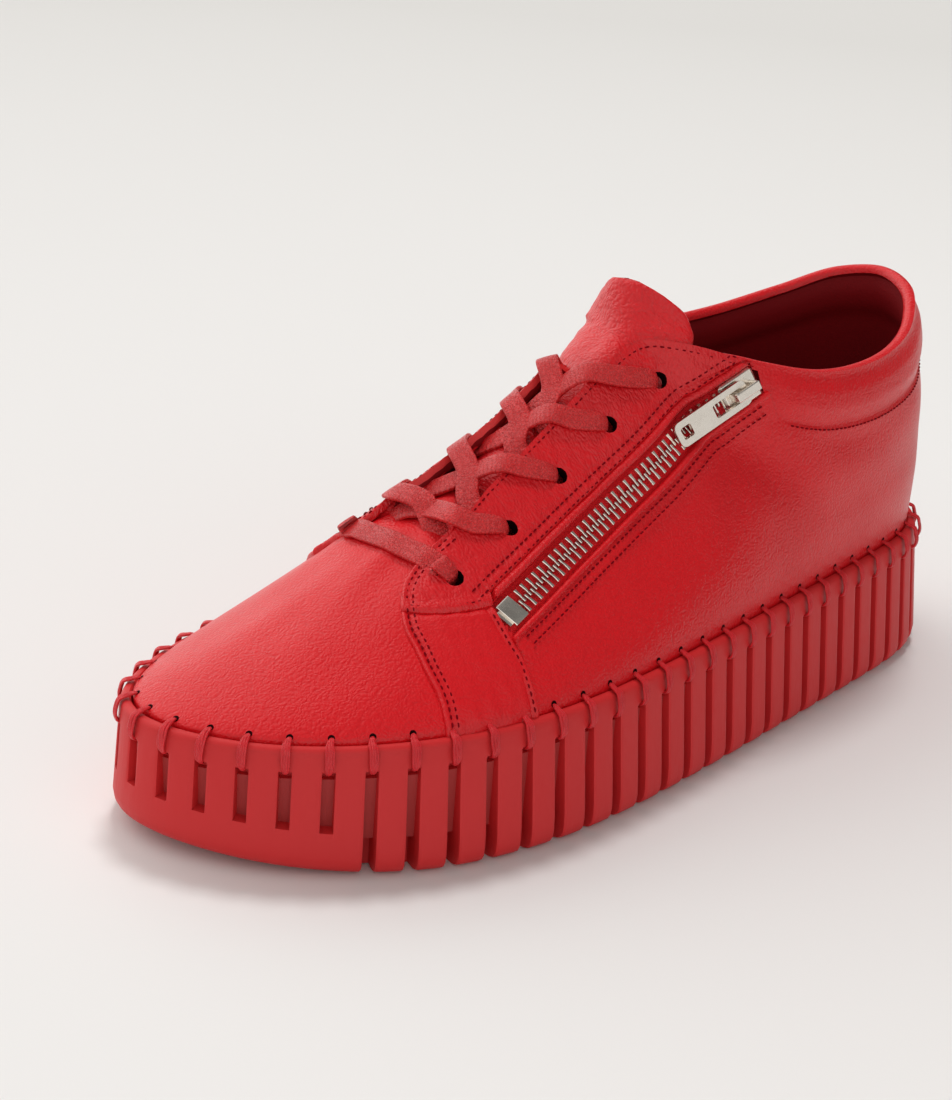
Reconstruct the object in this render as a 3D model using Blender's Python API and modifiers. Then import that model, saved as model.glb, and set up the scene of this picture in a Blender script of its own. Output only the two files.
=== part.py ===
"""A left low sneaker with a side zip: cup sole with slots, hollow upper, tongue, laces and zip.

The shoe stands on its sole, toe to -Y, outer side to +X, up +Z. The tables and the shape
functions are in millimetres, and each mesh is made in metres.
"""

import math

import bmesh
import bpy
import numpy as np
from mathutils import Matrix, Vector

MM = 0.001
PARTS = "left_sneaker"
CUTTERS = "cutters"

# ---------------------------------------------------------------- driving sizes, mm
SLOTS = 65  # slots all round the sole
SLOT_WIDTH = 3.0
FIRST_SLOT = -47.5  # arc from the toe tip to the first slot, the tip being 0
WINDOWS = range(0, 11)  # slots round the toe that stay closed below, counted from the first
WINDOW_FOOT = 10.6  # height of a window's lower edge
SLOT_TOP = 5.4  # from the rim down to a slot's top
SLOT_DEPTH = 1.5  # at the top of a slot
SLOT_RAKE = 0.13  # how fast a slot gets deeper towards the ground
SLOT_FOOT = 7.6  # depth of an open slot at the ground
RIM_TOE = 31.0  # rim height a quarter of the way back
RIM_RISE = 0.0232  # wedge of the sole, per millimetre of length
RIM_START = -101.0
TOE_SPRING = 3.3
BALL_LINE = -88.0  # ahead of this the sole curves up
TIP = -134.0
FLARE = 0.12  # the wall leans out by this much towards the ground
FLARE_TOE = 0.05
EDGE_ROUND = 4.6  # height of the rounded ground edge
EDGE_INSET = 4.2  # how far the ground edge is cut back
SHOULDER = (1.1, 1.3)  # height and inset of a point on the rounded edge
WALL_STEP = 0.2  # height in which a slot's end turns from its depth to the wall's face
SLOT_SLOPE = 0.1  # how much narrower a slot is at its bottom than at its mouth, on each side
RIM_ROUND = 0.8  # rounding of the rim's outer edge
RIM_WALL = 2.9  # wall of the cup at its rim
CUP_FLOOR = 14.0
GAP = 0.3
WALL = 2.0  # leather with its lining
INSOLE_THICK = 5.0
EYELET_RADIUS = 2.2
LACE_WIDTH = 6.2
LACE_THICK = 1.3
LACE_OFF = 1.4  # from the leather's face to the middle of a run on it
RUN_INSIDE = 4.8  # how far inside the throat's edge a run comes out on the tongue
RUN_AHEAD = 2.5  # and how far towards the heel
RUN_OFF_TONGUE = 1.3
CROSS_OFF_TONGUE = 2.2  # where two runs cross
CROSS_OFF_EDGES = 0.4
CROSS_SHARE = 0.45  # of the way from a run's start to the edge that it passes over
TOP_CLEAR = 1.2  # the last run rides higher, past the rising corner
SLIT_WIDTH = 9.5
TAPE_WIDTH = 14.6
TAPE_THICK = 0.7
TAPE_DEPTH = 2.85  # from the leather's face to the tape
TOOTH_PITCH = 2.4
CHAIN_HALF = 3.0
SLIDER_LENGTH = 11.0
SLIDER_WIDTH = 8.4
TAB_LENGTH = 23.0
TAB_WIDTH = 6.6
TAB_THICK = 1.3
TAB_BAR = 0.7  # half the bar that turns in the slider
TAB_WINDOW = (3.6, 9.6)
TAB_HOLE = (3.2, 3.2)
STOP_LENGTH = 4.8  # the clip at the zip's foot
STOP_WIDTH = 7.0
STOP_THICK = 2.4
CHAIN_LOW = -1.95  # the teeth's lower and upper faces, from the leather's face
CHAIN_HIGH = -0.55
SLIDER_FOOT = 12.0  # from the slider's lower end to the zip's head
HINGE_FROM_HEAD = 6.4
HINGE_HEIGHT = 2.95

# The rim's outline seen from above: a row for each section, from toe to heel.
OUTLINE_COLUMNS = ("y", "outer", "inner")
OUTLINE = (
    (-134.0, -14.0, -14.0),
    (-130.6, 2.9, -23.8),
    (-122.7, 16.0, -31.2),
    (-109.4, 28.8, -38.1),
    (-93.1, 38.4, -43.0),
    (-75.1, 44.4, -45.7),
    (-56.0, 47.3, -46.3),
    (-37.0, 47.6, -44.6),
    (-14.0, 46.1, -42.2),
    (12.0, 43.6, -40.5),
    (38.0, 40.7, -40.0),
    (64.0, 37.8, -40.5),
    (90.0, 34.5, -39.3),
    (110.0, 29.6, -34.8),
    (124.5, 20.0, -25.3),
    (132.2, 7.5, -13.0),
    (133.6, -2.5, -2.5),
)

# The upper's sections, from toe (at 0) to heel (at 1) along each side. The opening's edge is
# at half, y, z. rise and bulge carry the leather up from the rim; out, back and drop are the
# way it comes down from the opening's edge.
UPPER_COLUMNS = ("at", "half", "y", "z", "rise", "bulge", "out", "back", "drop")
UPPER = (
    (0.00, 0.0, -62.5, 62.0, 3.0, 0.0, 0.0, -30.0, -19.5),
    (0.08, 5.0, -61.8, 61.8, 3.0, 0.0, 4.0, -28.0, -18.5),
    (0.16, 10.2, -58.0, 63.9, 3.0, 0.3, 8.0, -18.0, -16.0),
    (0.30, 8.7, -44.5, 70.7, 5.6, 0.8, 12.4, -8.0, -12.9),
    (0.40, 7.2, -30.4, 78.4, 9.7, 1.5, 13.4, -3.0, -14.1),
    (0.50, 6.8, -16.0, 87.0, 14.8, 1.5, 14.6, -1.0, -15.3),
    (0.56, 6.8, -5.0, 93.8, 20.0, 1.5, 16.0, 0.0, -16.5),
    (0.61, 8.0, 7.5, 99.8, 26.0, 1.2, 15.2, 0.0, -20.0),
    (0.66, 17.0, 15.6, 100.0, 26.0, 1.0, 9.2, 0.0, -23.0),
    (0.71, 26.5, 34.5, 94.2, 25.0, 1.0, 7.4, 0.0, -25.0),
    (0.77, 30.4, 55.0, 89.5, 25.0, 1.0, 6.0, 0.0, -26.0),
    (0.84, 30.0, 83.0, 89.5, 26.0, 1.0, 5.0, 2.0, -27.0),
    (0.91, 23.0, 107.0, 94.5, 28.0, 1.0, 6.0, 4.0, -28.0),
    (0.96, 12.5, 120.5, 100.5, 30.0, 1.5, 4.0, 7.0, -28.0),
    (1.00, 0.0, 125.5, 102.5, 30.0, 2.0, 0.0, 8.0, -28.0),
)

# The middle line that the throat, the tongue and the collar are laid about.
MIDDLE = ((-134.0, -14.0), (-100.0, -9.0), (-66.0, -5.2), (0.0, -3.2), (60.0, -2.0), (134.0, -2.5))

# Where the eyelet holes lie on the upper, from the lowest row.
EYELET_COLUMNS = ("at", "up")
EYELETS = (
    (0.219, 0.759),
    (0.325, 0.797),
    (0.429, 0.827),
    (0.532, 0.842),
    (0.606, 0.858),
)

# Sections where each crossing's runs come out from under the throat's edges, and where they
# pass over the edge on the other side.
RUN_FROM = (0.130, 0.260, 0.390, 0.460)
RUN_OVER = (0.200, 0.352, 0.468, 0.543)

# The way of the lowest run over the vamp, from the middle to the first eyelets.
BAR_COLUMNS = ("at", "up")
BAR = ((0.0, 0.956), (0.083, 0.947), (0.133, 0.909), (0.177, 0.845))

# The tongue's sections along its middle line; arch is how fast its sides fall, and shift is how
# far its top leans to the inner side.
TONGUE_COLUMNS = ("y", "z", "half", "arch", "shift")
TONGUE = (
    (-76.0, 50.2, 12.0, 0.030, 0.0),
    (-66.0, 56.0, 14.0, 0.034, 0.0),
    (-57.0, 60.8, 14.4, 0.037, 0.0),
    (-46.0, 66.4, 14.5, 0.042, 0.0),
    (-30.0, 76.4, 13.6, 0.054, 0.0),
    (-15.0, 84.6, 13.0, 0.060, 0.0),
    (-6.0, 88.8, 13.0, 0.060, 0.0),
    (0.0, 91.2, 13.6, 0.056, 0.0),
    (5.0, 94.4, 13.8, 0.053, 0.0),
    (9.0, 100.6, 14.2, 0.042, 0.1),
    (11.2, 106.2, 15.4, 0.037, 2.4),
    (12.9, 110.9, 12.0, 0.034, 3.8),
    (13.6, 112.5, 7.6, 0.033, 4.0),
    (14.0, 113.2, 3.0, 0.032, 4.0),
)
TONGUE_THICK = 3.2

# The zip's middle line from its bottom stop to the top of its slider, seen from the side.
ZIP_COLUMNS = ("y", "z")
ZIP_SIDE = (
    (-59.4, 49.5),
    (-14.0, 67.8),
    (32.0, 91.5),
)


# ---------------------------------------------------------------- shape functions, mm
def closed_spline(points, count):
    """Points spaced along the smooth closed curve through the given ones."""
    points = np.asarray(points, float)
    size = len(points)
    span = np.linalg.norm(np.roll(points, -1, 0) - points, axis=1)
    matrix = np.zeros((size, size))
    right = np.zeros_like(points)
    for i in range(size):
        before, after = span[i - 1], span[i]
        matrix[i, i - 1] += before
        matrix[i, i] += 2 * (before + after)
        matrix[i, (i + 1) % size] += after
        step_on = (points[(i + 1) % size] - points[i]) / after
        right[i] = 6 * (step_on - (points[i] - points[i - 1]) / before)
    bend = np.linalg.solve(matrix, right)
    starts = np.concatenate([[0], np.cumsum(span)])
    along = np.linspace(0, starts[-1], count, endpoint=False)
    i = np.clip(np.searchsorted(starts, along, side="right") - 1, 0, size - 1)
    t, h, j = (along - starts[i])[:, None], span[i][:, None], (i + 1) % size
    ends = (bend[i] * (h - t) ** 3 + bend[j] * t**3) / (6 * h)
    return ends + (points[i] / h - bend[i] * h / 6) * (h - t) + (points[j] / h - bend[j] * h / 6) * t


def smooth_rows(rows, at, odd=()):
    """The rows' values at each place, on smooth curves. Odd columns change sign past the ends."""
    rows = np.asarray(rows, float)
    x, y = rows[:, 0], rows[:, 1:]
    gap = np.diff(x)[:, None]
    rate = np.diff(y, axis=0) / gap
    slope = np.zeros_like(y)
    slope[1:-1] = (rate[:-1] * gap[1:] + rate[1:] * gap[:-1]) / (gap[:-1] + gap[1:])
    for column in odd:
        slope[0, column] = rate[0, column]
        slope[-1, column] = rate[-1, column]
    at = np.clip(np.atleast_1d(np.asarray(at, float)), x[0], x[-1])
    i = np.clip(np.searchsorted(x, at, side="right") - 1, 0, len(x) - 2)
    h = (x[i + 1] - x[i])[:, None]
    u = (at - x[i])[:, None] / h
    held = (2 * u**3 - 3 * u**2 + 1) * y[i] + (3 * u**2 - 2 * u**3) * y[i + 1]
    return held + h * ((u**3 - 2 * u**2 + u) * slope[i] + (u**3 - u**2) * slope[i + 1])


class Outline:
    """The closed rim curve, from the toe tip round the outer side, measured by arc length."""

    def __init__(self):
        outer = [(row[1], row[0]) for row in OUTLINE]
        inner = [(row[2], row[0]) for row in OUTLINE[1:-1]]
        curve = closed_spline(outer + inner[::-1], 2400)
        step = np.roll(curve, -1, 0) - curve
        self.arc = np.concatenate([[0], np.cumsum(np.linalg.norm(step, axis=1))])
        self.length = self.arc[-1]
        way = np.roll(curve, -1, 0) - np.roll(curve, 1, 0)
        self.curve = np.vstack([curve, curve[:1]])
        self.way = np.vstack([way, way[:1]])
        self.heel = self.arc[np.argmax(curve[:, 1])]

    def at(self, arc):
        """Point and outward direction at each arc length."""
        arc = np.mod(np.atleast_1d(np.asarray(arc, float)), self.length)
        point = np.stack([np.interp(arc, self.arc, self.curve[:, i]) for i in (0, 1)], 1)
        way = np.stack([np.interp(arc, self.arc, self.way[:, i]) for i in (0, 1)], 1)
        way /= np.linalg.norm(way, axis=1)[:, None]
        return point, np.stack([way[:, 1], -way[:, 0]], 1)


RIM = Outline()


def middle_x(y):
    return smooth_rows(MIDDLE, y)[:, 0]


def rim_height(y):
    return RIM_TOE + RIM_RISE * (np.asarray(y) - RIM_START)


def ground_height(y):
    return TOE_SPRING * np.clip((BALL_LINE - np.asarray(y)) / (BALL_LINE - TIP), 0, None) ** 2


def wall_lean(y):
    near_tip = np.clip((BALL_LINE - np.asarray(y)) / (BALL_LINE - TIP), 0, 1)
    return FLARE + (FLARE_TOE - FLARE) * near_tip


def side_arc(side, at):
    """Arc length of a section on the outer side (side 1) or the inner side (side -1)."""
    at = np.asarray(at, float)
    return at * RIM.heel if side > 0 else RIM.length - at * (RIM.length - RIM.heel)


def upper_surface(side, at, up):
    """Outer face of the leather: at runs from toe to heel, up from the rim to the opening."""
    at, up = np.broadcast_arrays(np.atleast_1d(np.asarray(at, float)), np.asarray(up, float))
    half, y, z, rise, bulge, out, back, drop = smooth_rows(UPPER, at, odd=(0, 5)).T
    foot, outward = RIM.at(side_arc(side, at))
    foot = foot - outward * (RIM_WALL + GAP)
    start = np.column_stack([foot, rim_height(foot[:, 1]) + 0.2])
    lift = start + np.column_stack([outward * bulge[:, None], rise])
    edge = np.column_stack([middle_x(y) + side * half, y, z])
    ease = edge + np.column_stack([side * out, back, drop])
    u = up[:, None]
    return (1 - u) ** 3 * start + 3 * (1 - u) ** 2 * u * lift + 3 * (1 - u) * u * u * ease + u**3 * edge


def upper_frame(side, at, up):
    """Point and outward normal of the leather's outer face."""
    at, up = np.broadcast_arrays(np.atleast_1d(np.asarray(at, float)), np.asarray(up, float))
    point = upper_surface(side, at, up)
    step = 1e-3
    high, low = np.clip(up + step, 0, 1), np.clip(up - step, 0, 1)
    rise = upper_surface(side, at, high) - upper_surface(side, at, low)
    ahead, behind = np.clip(at + step, 0, 1), np.clip(at - step, 0, 1)
    along = upper_surface(side, ahead, up) - upper_surface(side, behind, up)
    at_end = (at < step) | (at > 1 - step)
    along[at_end] = np.array([side, 0.0, 0.0]) * np.where(at[at_end] < 0.5, 1, -1)[:, None]
    normal = np.cross(along, rise) * side
    return point, normal / np.linalg.norm(normal, axis=1)[:, None]


def upper_at(side, y, z, guess=(0.5, 0.6)):
    """The section and height (at, up) where the leather passes y and z, seen from the side."""
    at, up = guess
    for _ in range(30):
        here = upper_surface(side, at, up)[0, 1:]
        by_at = (upper_surface(side, at + 1e-4, up)[0, 1:] - here) / 1e-4
        by_up = (upper_surface(side, at, up + 1e-4)[0, 1:] - here) / 1e-4
        move = np.linalg.solve(np.column_stack([by_at, by_up]), np.array([y, z]) - here)
        move = np.clip(move, -0.08, 0.08)
        at = float(np.clip(at + move[0], 0.02, 0.98))
        up = float(np.clip(up + move[1], 0.0, 1.0))
        if np.abs(move).max() < 1e-6:
            break
    return at, up


def eyelet(side, row):
    """Centre and outward normal of an eyelet hole, row 0 being the lowest."""
    point, normal = upper_frame(side, *EYELETS[row])
    return point[0], normal[0]


# ---------------------------------------------------------------- mesh helpers
def material(name, colour, roughness, metallic=0.0):
    made = bpy.data.materials.get(name) or bpy.data.materials.new(name)
    made.use_nodes = True
    shader = made.node_tree.nodes["Principled BSDF"]
    shader.inputs["Base Color"].default_value = (*colour, 1)
    shader.inputs["Roughness"].default_value = roughness
    shader.inputs["Metallic"].default_value = metallic
    return made


def keep_in(made, name):
    """Put an object in the collection of that name, which is made when it is first needed."""
    home = bpy.data.collections.get(name)
    if home is None:
        home = bpy.data.collections.new(name)
        bpy.context.scene.collection.children.link(home)
    for other in list(made.users_collection):
        other.objects.unlink(made)
    home.objects.link(made)
    return made


def add_object(name, points, faces, look):
    mesh = bpy.data.meshes.new(name)
    mesh.from_pydata([tuple(np.asarray(p, float) * MM) for p in points], [], faces)
    skin = bmesh.new()
    skin.from_mesh(mesh)
    bmesh.ops.recalc_face_normals(skin, faces=skin.faces)
    skin.to_mesh(mesh)
    skin.free()
    made = bpy.data.objects.new(name, mesh)
    made.data.materials.append(look)
    return keep_in(made, PARTS)


def rings_mesh(rings, closed_rings=True, cap="ladder"):
    """Points and faces of a skin over rings of equal length, its two ends capped."""
    count = len(rings[0])
    points = [p for ring in rings for p in ring]
    faces = []
    for r in range(len(rings) - 1):
        for i in range(count if closed_rings else count - 1):
            j = (i + 1) % count
            faces.append((r * count + i, r * count + j, (r + 1) * count + j, (r + 1) * count + i))
    for first, flip in ((0, True), ((len(rings) - 1) * count, False)):
        if cap == "ladder":
            for i in range(count // 2):
                quad = [i, i + 1, (count - i - 1) % count, (count - i) % count]
                quad = [first + k for k in dict.fromkeys(quad)]
                faces.append(tuple(quad[::-1] if flip else quad))
        elif cap == "face":
            face = [first + i for i in range(count)]
            faces.append(tuple(face[::-1] if flip else face))
    return points, faces


def ribbon_rings(centres, sides, ups, half_widths, half_thick):
    """Four-cornered sections along a path."""
    rings = []
    for c, s, u, w in zip(centres, sides, ups, half_widths):
        low, high = w if np.ndim(w) else (-w, w)
        rings.append([c + s * low - u * half_thick, c + s * high - u * half_thick,
                      c + s * high + u * half_thick, c + s * low + u * half_thick])
    return rings


def cut(target, cutter, operation="DIFFERENCE"):
    """Apply a Boolean, and remove its cutter."""
    keep_in(cutter, CUTTERS)
    modifier = target.modifiers.new("cut", "BOOLEAN")
    modifier.operation = operation
    modifier.solver = "EXACT"
    modifier.object = cutter
    graph = bpy.context.evaluated_depsgraph_get()
    mesh = bpy.data.meshes.new_from_object(target.evaluated_get(graph))
    target.modifiers.remove(modifier)
    old = target.data
    target.data = mesh
    bpy.data.meshes.remove(old)
    bpy.data.objects.remove(cutter)


def weld(target, reach=0.03):
    """Close the slivers that a Boolean leaves where two faces nearly coincide."""
    skin = bmesh.new()
    skin.from_mesh(target.data)
    bmesh.ops.triangulate(skin, faces=skin.faces)
    bmesh.ops.remove_doubles(skin, verts=skin.verts, dist=reach * MM)
    bmesh.ops.dissolve_degenerate(skin, dist=reach * MM, edges=skin.edges)
    skin.to_mesh(target.data)
    skin.free()


# ---------------------------------------------------------------- sole
def slot_columns():
    """Arc lengths round the rim with, for each, the slot it is in (or None for a rib)."""
    pitch = RIM.length / SLOTS
    columns = []
    for k in range(SLOTS):
        centre = FIRST_SLOT + k * pitch
        half = SLOT_WIDTH / 2
        floor = half - SLOT_SLOPE
        for offset, inside in ((-half, False), (-floor, True), (floor, True), (half, False)):
            columns.append((centre + offset, k if inside else None))
    start = next(i for i, (arc, _) in enumerate(columns) if arc >= 0)
    return columns[start:] + [(arc + RIM.length, slot) for arc, slot in columns[:start]]


def outsole(look):
    columns = slot_columns()
    arcs = np.array([arc for arc, _ in columns])
    point, outward = RIM.at(arcs)
    y = point[:, 1]
    rim, ground, lean = rim_height(y), ground_height(y), wall_lean(y)
    slot_top = rim - SLOT_TOP
    in_slot = np.array([slot is not None for _, slot in columns])
    is_window = np.array([slot in WINDOWS for _, slot in columns])
    is_open = in_slot & ~is_window

    def ring(height, inset):
        spot = point + outward * ((slot_top - height) * lean - inset)[:, None]
        return np.column_stack([spot, height])

    def recess(height, extra=0.0):
        return SLOT_DEPTH + (slot_top - height) * SLOT_RAKE + extra

    nothing = np.zeros(len(arcs))
    foot = ground + WINDOW_FOOT
    edge = ground + EDGE_ROUND
    rings = [
        ring(ground, np.where(is_open, SLOT_FOOT + 1.0, EDGE_INSET)),
        ring(ground + SHOULDER[0], np.where(is_open, SLOT_FOOT + 0.5, SHOULDER[1])),
        ring(edge, np.where(is_open, SLOT_FOOT, nothing)),
        ring(foot - WALL_STEP, np.where(is_open, recess(foot, 1.2), nothing)),
        ring(foot, np.where(in_slot, recess(foot), nothing)),
        ring(slot_top - WALL_STEP, np.where(in_slot, SLOT_DEPTH, nothing)),
        ring(slot_top, nothing),
        ring(rim - RIM_ROUND, nothing),
        ring(rim, nothing + RIM_ROUND),
        ring(rim, RIM_WALL - SLOT_TOP * lean),
        ring(nothing + CUP_FLOOR, RIM_WALL + (slot_top - CUP_FLOOR) * lean),
    ]
    return add_object("outsole", *rings_mesh(rings), look)


def insole(look):
    arcs = np.linspace(0, RIM.length, 72, endpoint=False)
    point, outward = RIM.at(arcs)
    inset = RIM_WALL + 2 * GAP + WALL + 0.2

    def ring(height, more):
        return np.column_stack([point - outward * (inset + more), height])

    low = np.full(len(arcs), CUP_FLOOR + GAP)
    heel = np.clip(point[:, 1] / 134, 0, 1) * 3.0
    rings = [
        ring(low, 0.8),
        ring(low + 0.8, 0.0),
        ring(low + INSOLE_THICK + heel, 0.0),
        ring(low + INSOLE_THICK + heel + 0.3, 1.2),
        ring(low + INSOLE_THICK + heel * 0.6 - 0.6, 9.0),
    ]
    return add_object("insole", *rings_mesh(rings), look)


# ---------------------------------------------------------------- upper
def loop_columns(each_side):
    """(side, at) of the sections, from the toe round the outer side to the heel and back."""
    at = np.linspace(0, 1, each_side + 1)
    return [(1, a) for a in at] + [(-1, a) for a in at[-2:0:-1]]


def upper_ring(columns, up, depth):
    """A ring of the leather at one height, moved in by depth."""
    ring = []
    for side, at in columns:
        point, normal = upper_frame(side, at, up)
        ring.append((point - normal * depth)[0])
    return np.array(ring)


def upper(look):
    columns = loop_columns(35)
    arcs = np.array([float(side_arc(side, at)) for side, at in columns])
    point, outward = RIM.at(arcs)

    def skirt(inset):
        return np.column_stack([point - outward * inset, np.full(len(arcs), CUP_FLOOR + GAP)])

    outer_inset = RIM_WALL + GAP
    outer = [upper_ring(columns, up, 0.0) for up in np.linspace(0, 1, 11)]
    inner = [upper_ring(columns, up, WALL) for up in np.linspace(1, 0, 8)]
    rings = [skirt(outer_inset), *outer, *inner, skirt(outer_inset + WALL)]
    count = len(columns)
    points, faces = rings_mesh(rings, cap="none")
    last = (len(rings) - 1) * count
    faces += [(last + i, last + (i + 1) % count, (i + 1) % count, i) for i in range(count)]
    made = add_object("upper", points, faces, look)
    for side in (1, -1):
        for row in range(len(EYELETS)):
            cut(made, eyelet_cutter(side, row))
    cut(made, zip_band("slit", SLIT_WIDTH, -6.0, 6.0, -1.2, 12.0, look, 17))
    weld(made)
    return made


def eyelet_cutter(side, row):
    centre, normal = eyelet(side, row)
    bpy.ops.mesh.primitive_cylinder_add(vertices=12, radius=EYELET_RADIUS * MM, depth=9 * MM)
    made = bpy.context.object
    made.rotation_euler = Vector(normal).to_track_quat("Z", "Y").to_euler()
    made.location = Vector(centre * MM)
    bpy.context.view_layer.update()
    return made


# ---------------------------------------------------------------- tongue and laces
def tongue_surface(along, across):
    """Upper face of the tongue; along runs 0 to 1 from its foot, across -1 to 1."""
    rows = np.asarray(TONGUE, float)
    step = np.linalg.norm(np.diff(rows[:, :2], axis=0), axis=1)
    walked = np.concatenate([[0], np.cumsum(step)])
    rows = np.column_stack([walked / walked[-1], rows])
    along, across = np.broadcast_arrays(np.atleast_1d(np.asarray(along, float)), across)
    y, z, half, arch, shift = smooth_rows(rows, along).T
    way = smooth_rows(rows, np.clip(along + 0.01, 0, 1)) - smooth_rows(rows, np.clip(along - 0.01, 0, 1))
    way = way[:, :2] / np.linalg.norm(way[:, :2], axis=1)[:, None]
    side = across * half
    fall = arch * side**2
    return np.column_stack([middle_x(y) - shift + side, y + way[:, 1] * fall, z - way[:, 0] * fall])


def tongue(look):
    across = np.linspace(-1, 1, 9)
    rings = []
    for along in np.linspace(0, 1, 16):
        top = tongue_surface(along, across)
        ahead = tongue_surface(min(along + 0.01, 1), across) - tongue_surface(max(along - 0.01, 0), across)
        sideways = np.gradient(top, axis=0)
        normal = np.cross(sideways, ahead)
        normal /= np.linalg.norm(normal, axis=1)[:, None]
        rings.append(np.vstack([top, (top - normal * TONGUE_THICK)[::-1]]))
    return add_object("tongue", *rings_mesh(rings, cap="face"), look)


def tongue_height(y):
    """Height of the tongue's ridge."""
    rows = np.asarray(TONGUE, float)
    return float(np.interp(y, rows[:, 0], rows[:, 1]))


def strap(path, ups):
    """A lace ribbon through the given points."""
    path, ups = np.asarray(path, float), np.asarray(ups, float)
    walked = np.concatenate([[0], np.cumsum(np.linalg.norm(np.diff(path, axis=0), axis=1))])
    at = np.linspace(0, walked[-1], 11)
    centres = smooth_rows(np.column_stack([walked, path]), at, odd=(0, 1, 2))
    raised = smooth_rows(np.column_stack([walked, ups]), at)
    way = np.gradient(centres, axis=0)
    way /= np.linalg.norm(way, axis=1)[:, None]
    sides = np.cross(way, raised)
    sides /= np.linalg.norm(sides, axis=1)[:, None]
    raised = np.cross(sides, way)
    rings = ribbon_rings(centres, sides, raised, [LACE_WIDTH / 2] * len(at), LACE_THICK / 2)
    return rings_mesh(rings, cap="face")


THROAT_UP = np.array([0.0, -0.54, 0.84])


def lace_bar(look):
    """The lowest run, lying on the leather from one hole to the other."""
    path, ups = [], []
    for side in (1, -1):
        spot, normal = upper_frame(side, *np.array([*BAR, EYELETS[0]]).T)
        points = list(spot + normal * LACE_OFF)
        path = points[::-1] + path[1:] if side > 0 else path[:-1] + points
        ups = list(normal)[::-1] + ups[1:] if side > 0 else ups[:-1] + list(normal)
    return add_object("lace_bar", *strap(path, ups), look)


def lace_run(side, row, lift):
    """From under one side's edge at an eyelet row, over the other side to its next eyelet."""
    near, over = (upper_surface(s, at, 1.0)[0] for s, at in ((side, RUN_FROM[row]), (-side, RUN_OVER[row])))
    y = near[1] + RUN_AHEAD
    start = np.array([near[0] - side * RUN_INSIDE, y, tongue_height(y) + RUN_OFF_TONGUE])
    y_cross = start[1] + (over[1] - start[1]) * CROSS_SHARE
    above_edges = (near[2] + over[2]) / 2 + CROSS_OFF_EDGES
    z_cross = max(tongue_height(y_cross) + CROSS_OFF_TONGUE, above_edges) + lift
    middle = np.array([middle_x(y_cross)[0], y_cross, z_cross])
    clear = TOP_CLEAR if row + 2 == len(EYELETS) else 0.0
    share = np.array([0.4, 0.75, 1.0])[:, None]
    places = np.array([RUN_OVER[row], 1.0]) * (1 - share) + np.array(EYELETS[row + 1]) * share
    spots, normals = upper_frame(-side, *places.T)
    path = [start, middle, over + THROAT_UP * (2.1 + clear), *(spots + normals * (LACE_OFF + 0.3 + clear))]
    ups = [THROAT_UP, THROAT_UP, THROAT_UP, *(normals * 0.7 + THROAT_UP * 0.3)]
    return strap(path, ups)


def lace_cross(row, look):
    """Two runs that cross, the one to the inner side on top."""
    made = add_object(f"lace_cross_{row + 1}", *lace_run(-1, row, 0.0), look)
    upper_run = add_object("run", *lace_run(1, row, LACE_THICK - 0.15), look)
    cut(made, upper_run, "UNION")
    return made


# ---------------------------------------------------------------- zip
def zip_line():
    """Samples of the zip's middle line: distance from its foot, points and normals."""
    guess, points, normals = (0.3, 0.6), [], []
    for y in np.linspace(ZIP_SIDE[0][0], ZIP_SIDE[-1][0], 60):
        z = smooth_rows(ZIP_SIDE, y, odd=(0,))[0, 0]
        guess = upper_at(1, y, z, guess)
        point, normal = upper_frame(1, *guess)
        points.append(point[0])
        normals.append(normal[0])
    points = np.array(points)
    step = np.linalg.norm(np.diff(points, axis=0), axis=1)
    return np.concatenate([[0], np.cumsum(step)]), points, np.array(normals)


ZIP = zip_line()
ZIP_LENGTH = ZIP[0][-1]


def zip_frame(distance):
    """Point, way along, way across (upwards) and normal on the zip's middle line."""
    def at(d):
        return np.array([np.interp(d, ZIP[0], ZIP[1][:, i]) for i in range(3)])

    held = float(np.clip(distance, 0, ZIP_LENGTH))
    normal = np.array([np.interp(held, ZIP[0], ZIP[2][:, i]) for i in range(3)])
    low, high = max(held - 3, 0), min(held + 3, ZIP_LENGTH)
    way = at(high) - at(low)
    way /= np.linalg.norm(way)
    point = at(held) + way * (distance - held)
    across = np.cross(normal, way)
    across /= np.linalg.norm(across)
    return point, way, across, np.cross(way, across)


def zip_band(name, width, low, high, start, past, look, rows=12):
    """A straight-sided band along the zip, from low to high over the leather's face."""
    rings = []
    for distance in np.linspace(start, ZIP_LENGTH + past, rows):
        point, _, across, normal = zip_frame(distance)
        corners = ((-1, low), (1, low), (1, high), (-1, high))
        rings.append([point + across * s * width / 2 + normal * h for s, h in corners])
    return add_object(name, *rings_mesh(rings, cap="face"), look)


def zip_tape(look):
    """Woven tape behind the slit, following the leather's inner face."""
    rings = []
    for distance in np.linspace(-3, ZIP_LENGTH - 5, 14):
        point, _, across, normal = zip_frame(distance)
        low, high = [], []
        for w in np.linspace(-0.5, 0.5, 5) * TAPE_WIDTH:
            flat = point + across * w
            spot = upper_surface(1, *upper_at(1, flat[1], flat[2], (0.5, 0.6)))[0]
            sink = min(float((spot - point) @ normal), 0.0) - TAPE_DEPTH
            high.append(flat + normal * sink)
            low.append(flat + normal * (sink - TAPE_THICK))
        rings.append(low + high[::-1])
    return add_object("zip_tape", *rings_mesh(rings, cap="face"), look)


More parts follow.
